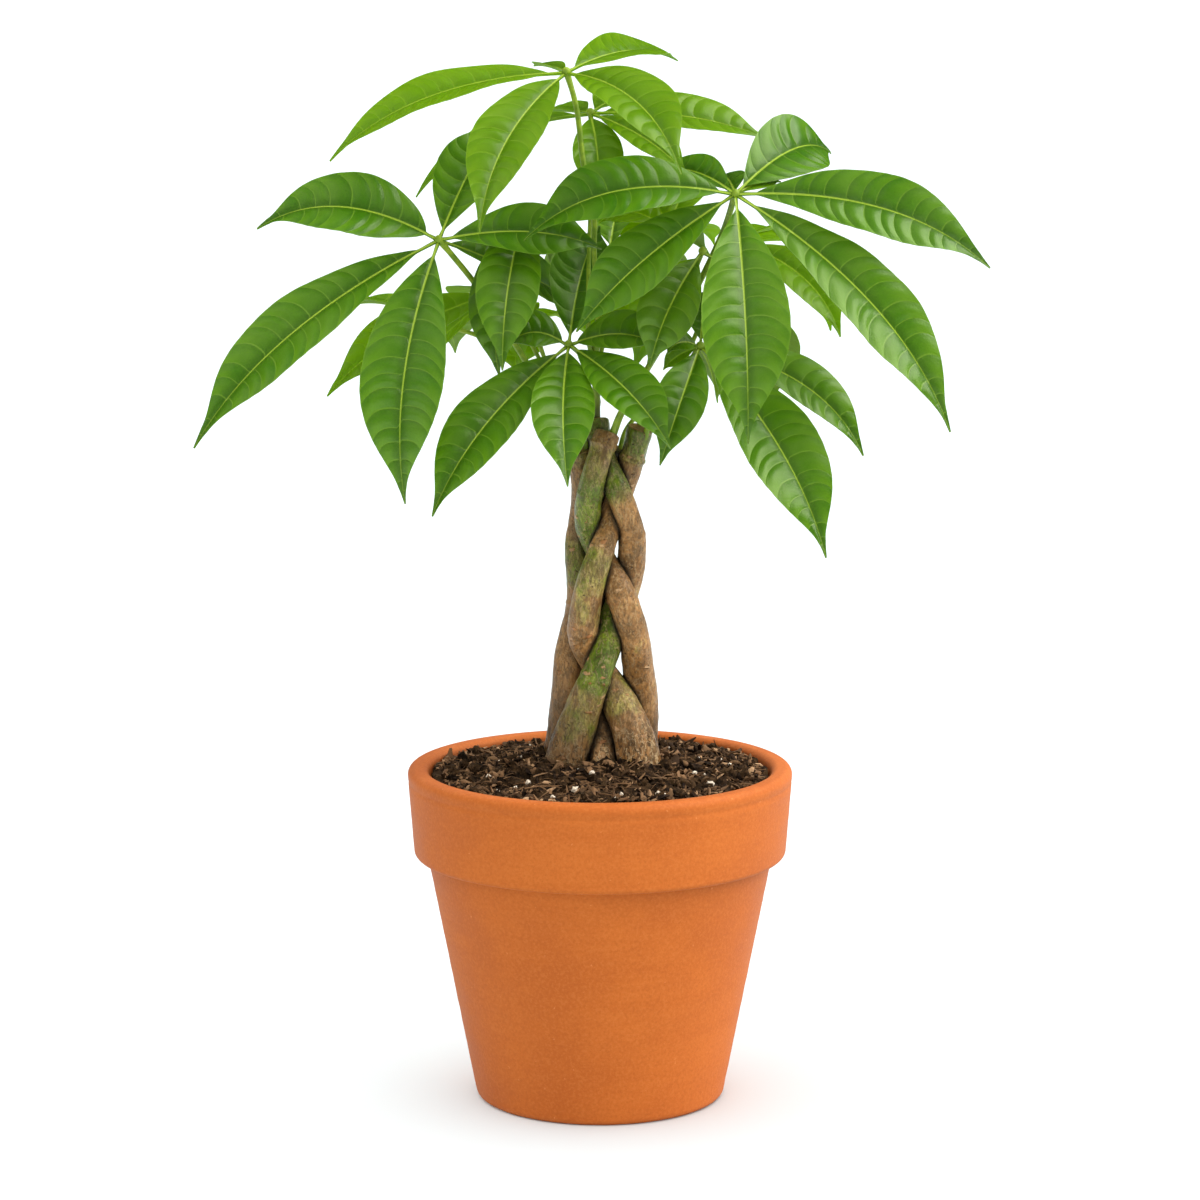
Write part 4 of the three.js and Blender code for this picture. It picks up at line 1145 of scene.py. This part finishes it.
def midrib(hub, piece, t):
    """Points, directions and run of a leaflet's midrib, one bow from the hub to the tip."""
    tip = np.array(piece["tip"], float)
    chord = unit(tip - hub)
    up = np.array([0, 0, 1.0])
    lift = unit(up - chord * up.dot(chord))
    start = hub + chord * BLADE_ROOT
    bend = hub + (tip - hub) * BLADE_BEND + lift * piece["arch"]
    bend = bend + np.cross(chord, lift) * piece["sway"]
    centre = start * (1 - t) ** 2 + bend * 2 * t * (1 - t) + tip * t**2
    along = unit((bend - start) * (1 - t) + (tip - bend) * t)
    run = np.concatenate([[0], np.cumsum(np.linalg.norm(np.diff(centre, axis=0), axis=1))])
    return centre, along, run[:, None]


def side_veins(run, out, half, u):
    """A count that rises by one from each side vein to the next, and how deep the quilting is."""
    length = run[-1, 0]
    pairs = np.clip(length / VEIN_SPACING, *VEIN_PAIRS)
    lean = 0.55 * half * np.abs(u) ** 3 - 0.05 * out
    vein = (run - lean) * pairs / length + 0.5 + 0.22 * (u < 0) + rng.random() * 0.3
    uneven = rng.random(4) * 6
    vein = vein + 0.15 * np.sin(vein * 1.9 + uneven[0] + (u > 0) * uneven[1])
    return vein, 1 + 0.3 * np.sin(vein * 1.3 + uneven[2] + (u > 0) * uneven[3])


def blade_faces(rows, columns):
    """Faces of the upper side, of the lower side, whose points follow, and of the margin."""
    shift = rows * columns
    r, c = np.meshgrid(np.arange(rows - 1), np.arange(columns - 1), indexing="ij")
    a = (r * columns + c).reshape(-1)
    top = np.stack([a, a + 1, a + columns + 1, a + columns], 1)
    loop = list(range(columns)) + [columns - 1 + columns * i for i in range(1, rows)]
    loop += [shift - 2 - i for i in range(columns - 1)]
    loop += [columns * i for i in range(rows - 2, 0, -1)]
    edge = [[q, p, p + shift, q + shift] for p, q in zip(loop, loop[1:] + loop[:1])]
    return np.vstack([top, top[:, ::-1] + shift, edge]).tolist()


def add_leaflet(builder, hub, leaf_face, piece, tone):
    """One blade: folded along the midrib, quilted between its side veins, with a thin margin."""
    rows = int(np.clip(np.linalg.norm(np.subtract(piece["tip"], hub)) * 1.05, 50, 170))
    t, u = np.linspace(0, 1, rows)[:, None], np.linspace(-1, 1, BLADE_COLUMNS)
    centre, along, run = midrib(hub, piece, t)
    across = unit(np.cross(along, np.array(piece["face"] or leaf_face, float)))
    normal = np.cross(across, along)
    half = half_width(t, piece["half"], piece["widest"])
    rim = np.abs(u)
    out = rim * half
    vein, uneven = side_veins(run, out, half, u)

    body = smooth_step(0.02, 0.3, rim) * (1 - 0.93 * smooth_step(0.66, 0.98, rim))
    ends = smooth_step(0.05, 0.16, t) * (1 - smooth_step(0.88, 0.985, t))
    grown_up = smooth_step(6, 14, piece["half"])
    quilt = (np.abs(np.sin(np.pi * vein)) ** 1.25 - 0.52) * np.minimum(half / piece["half"], 1)
    depth = QUILT * (1 - 0.2 * min(max(tone, 0), 1)) * uneven
    wave = rng.random() * 6
    ripple = np.sin(run * (0.13 + 0.05 * rng.random()) + wave + (u > 0) * 1.9)
    waves = WAVE * piece["half"] * ripple * rim**3
    relief = (depth * quilt * body + waves) * ends * grown_up
    crown = CROWNING * half * np.sin(np.pi * rim)
    rise = BLADE_FOLD * out + crown + relief - GROOVE * np.exp(-((out / 1.1) ** 2))
    x = u * half * (1 + 0.004 * np.cos(2 * np.pi * vein) * rim**6)
    upper = centre[:, None] + across[:, None] * x[..., None] + normal[:, None] * rise[..., None]
    keel = (KEEL - KEEL_TAPER * t) * np.exp(-(out**2))
    side_ribs = SIDE_RIB * np.exp(-(((vein - np.round(vein)) / 0.1) ** 2)) * body * ends
    lower = upper - normal[:, None] * (BLADE_THICKNESS + keel + side_ribs)[..., None]

    def both(values):
        return np.tile(np.broadcast_to(values, out.shape).reshape(-1), 2)

    builder.add(
        np.concatenate([upper.reshape(-1, 3), lower.reshape(-1, 3)]),
        blade_faces(rows, BLADE_COLUMNS),
        tone=tone, rib=both(out), across=both(rim), along=both(t), vein=both(vein),
        under=np.repeat([0.0, 1.0], out.size),
    )


def make_leaf(parts, blade_material, stem_material):
    name, hub = parts["name"], np.array(parts["route"][-1], float)
    blades = Builder()
    for piece in parts["leaflets"]:
        tone = parts["tone"] + rng.normal(0, 0.05) + (YOUNGER if piece["young"] else 0)
        add_leaflet(blades, hub, parts["face"], piece, tone)
    blades.piece(name + "_blades", blade_material, "leaf", [name])

    stalk = Builder()
    share = np.linspace(0, 1, STALK_STEPS + 1)
    foot = 1 - smooth_step(0, 0.12, share)
    head = smooth_step(0.93, 1, share)
    radii = parts["radius"] * (1 + (STALK_SWELL - 1) * np.maximum(foot, 0.6 * head))
    add_tube(stalk, curve_points(parts["route"], STALK_STEPS), radii, STALK_SIDES, old=0.4 * foot)
    ways, faces = ball(9, 14)
    stalk.add(hub + ways * HUB_RADIUS * 0.95, faces, old=0)
    stalk.piece(name + "_stalk", stem_material, "green_shoot")


def make_shoot(material):
    shoot = Builder()
    share = np.linspace(0, 1, SHOOT_STEPS + 1)
    joints = sum(0.35 * bell(share, at, 0.03) for at in SHOOT_JOINTS)
    radii = SHOOT_RADIUS * (1 - 0.25 * share) + joints
    old = 0.9 * (1 - smooth_step(0.1, 0.6, share))
    add_tube(shoot, curve_points(SHOOT_ROUTE, SHOOT_STEPS), radii, SHOOT_SIDES, old=old)
    shoot.piece("green_shoot_stem", material, "green_shoot", ["shoot"])


def make_plant():
    make_pot(clay_material())
    earth = soil_material()
    make_soil_bed(earth)
    make_soil_litter(earth, chip_material(), perlite_material())
    bark = bark_material()
    grown = grown_stems()
    for s in range(len(STEMS)):
        make_stem(s, grown, bark)
    green = stalk_material()
    leaf_green = leaf_material()
    make_shoot(green)
    for parts in LEAVES:
        make_leaf(parts, leaf_green, green)


# ---- floor, light and camera ----


def make_floor():
    bpy.ops.mesh.primitive_plane_add(size=FLOOR_SIZE, location=(0, 0, 0))
    floor = bpy.context.object
    floor.name = "floor"
    n = Nodes("pale_floor")
    tint = n.mix(n.noise(3, 2), (0.810, 0.885, 0.900), (0.815, 0.890, 0.905))
    floor.data.materials.append(n.finish(n.surface(tint, 0.95, specular=0.0)))
    STAGE.objects.link(floor)


def add_lamp(name, height, bearing, spread, strength, lit, shows):
    """A wide, far light. One that doesn't show is not mirrored, as if cross-polarised."""
    lamp = bpy.data.lights.new(name, "SUN")
    lamp.angle, lamp.energy = math.radians(spread), strength
    holder = bpy.data.objects.new(name, lamp)
    up, turn = math.radians(height), math.radians(bearing)
    place = Vector((math.cos(up) * math.sin(turn), -math.cos(up) * math.cos(turn), math.sin(up)))
    holder.rotation_euler = place.to_track_quat("Z", "Y").to_euler()
    holder.location = place * LAMP_DISTANCE
    holder.visible_glossy = shows
    bpy.context.collection.objects.link(holder)
    if lit:
        holder.light_linking.receiver_collection = lit


def make_light():
    """The lamps, and a white band round the horizon with a dimmer sky over it."""
    world = bpy.data.worlds.new("studio")
    bpy.context.scene.world = world
    world.use_nodes = True
    tree = world.node_tree
    where = tree.nodes.new("ShaderNodeTexCoord")
    split = tree.nodes.new("ShaderNodeSeparateXYZ")
    fall = tree.nodes.new("ShaderNodeMapRange")
    fall.interpolation_type = "SMOOTHSTEP"
    for key, value in zip(("From Min", "From Max", "To Min", "To Max"), (*HORIZON, 1.0, SKY)):
        fall.inputs[key].default_value = value
    tree.links.new(where.outputs["Generated"], split.inputs[0])
    tree.links.new(split.outputs["Z"], fall.inputs["Value"])
    background = tree.nodes["Background"]
    background.inputs["Color"].default_value = (1, 1, 1, 1)
    tree.links.new(fall.outputs[0], background.inputs["Strength"])
    world.cycles_visibility.glossy = False
    for name, lamp in LAMPS.items():
        add_lamp(name, *lamp)


def make_camera():
    lens = bpy.data.cameras.new("camera")
    lens.lens, lens.sensor_width = CAMERA_LENS, 36
    camera = bpy.data.objects.new("camera", lens)
    camera.location = (0, -CAMERA_DISTANCE, CAMERA_HEIGHT)
    camera.rotation_euler = (math.radians(90 - CAMERA_PITCH), 0, 0)
    bpy.context.collection.objects.link(camera)
    bpy.context.scene.camera = camera


make_plant()
make_floor()
make_light()
make_camera()
bpy.context.scene.view_settings.view_transform = "Standard"
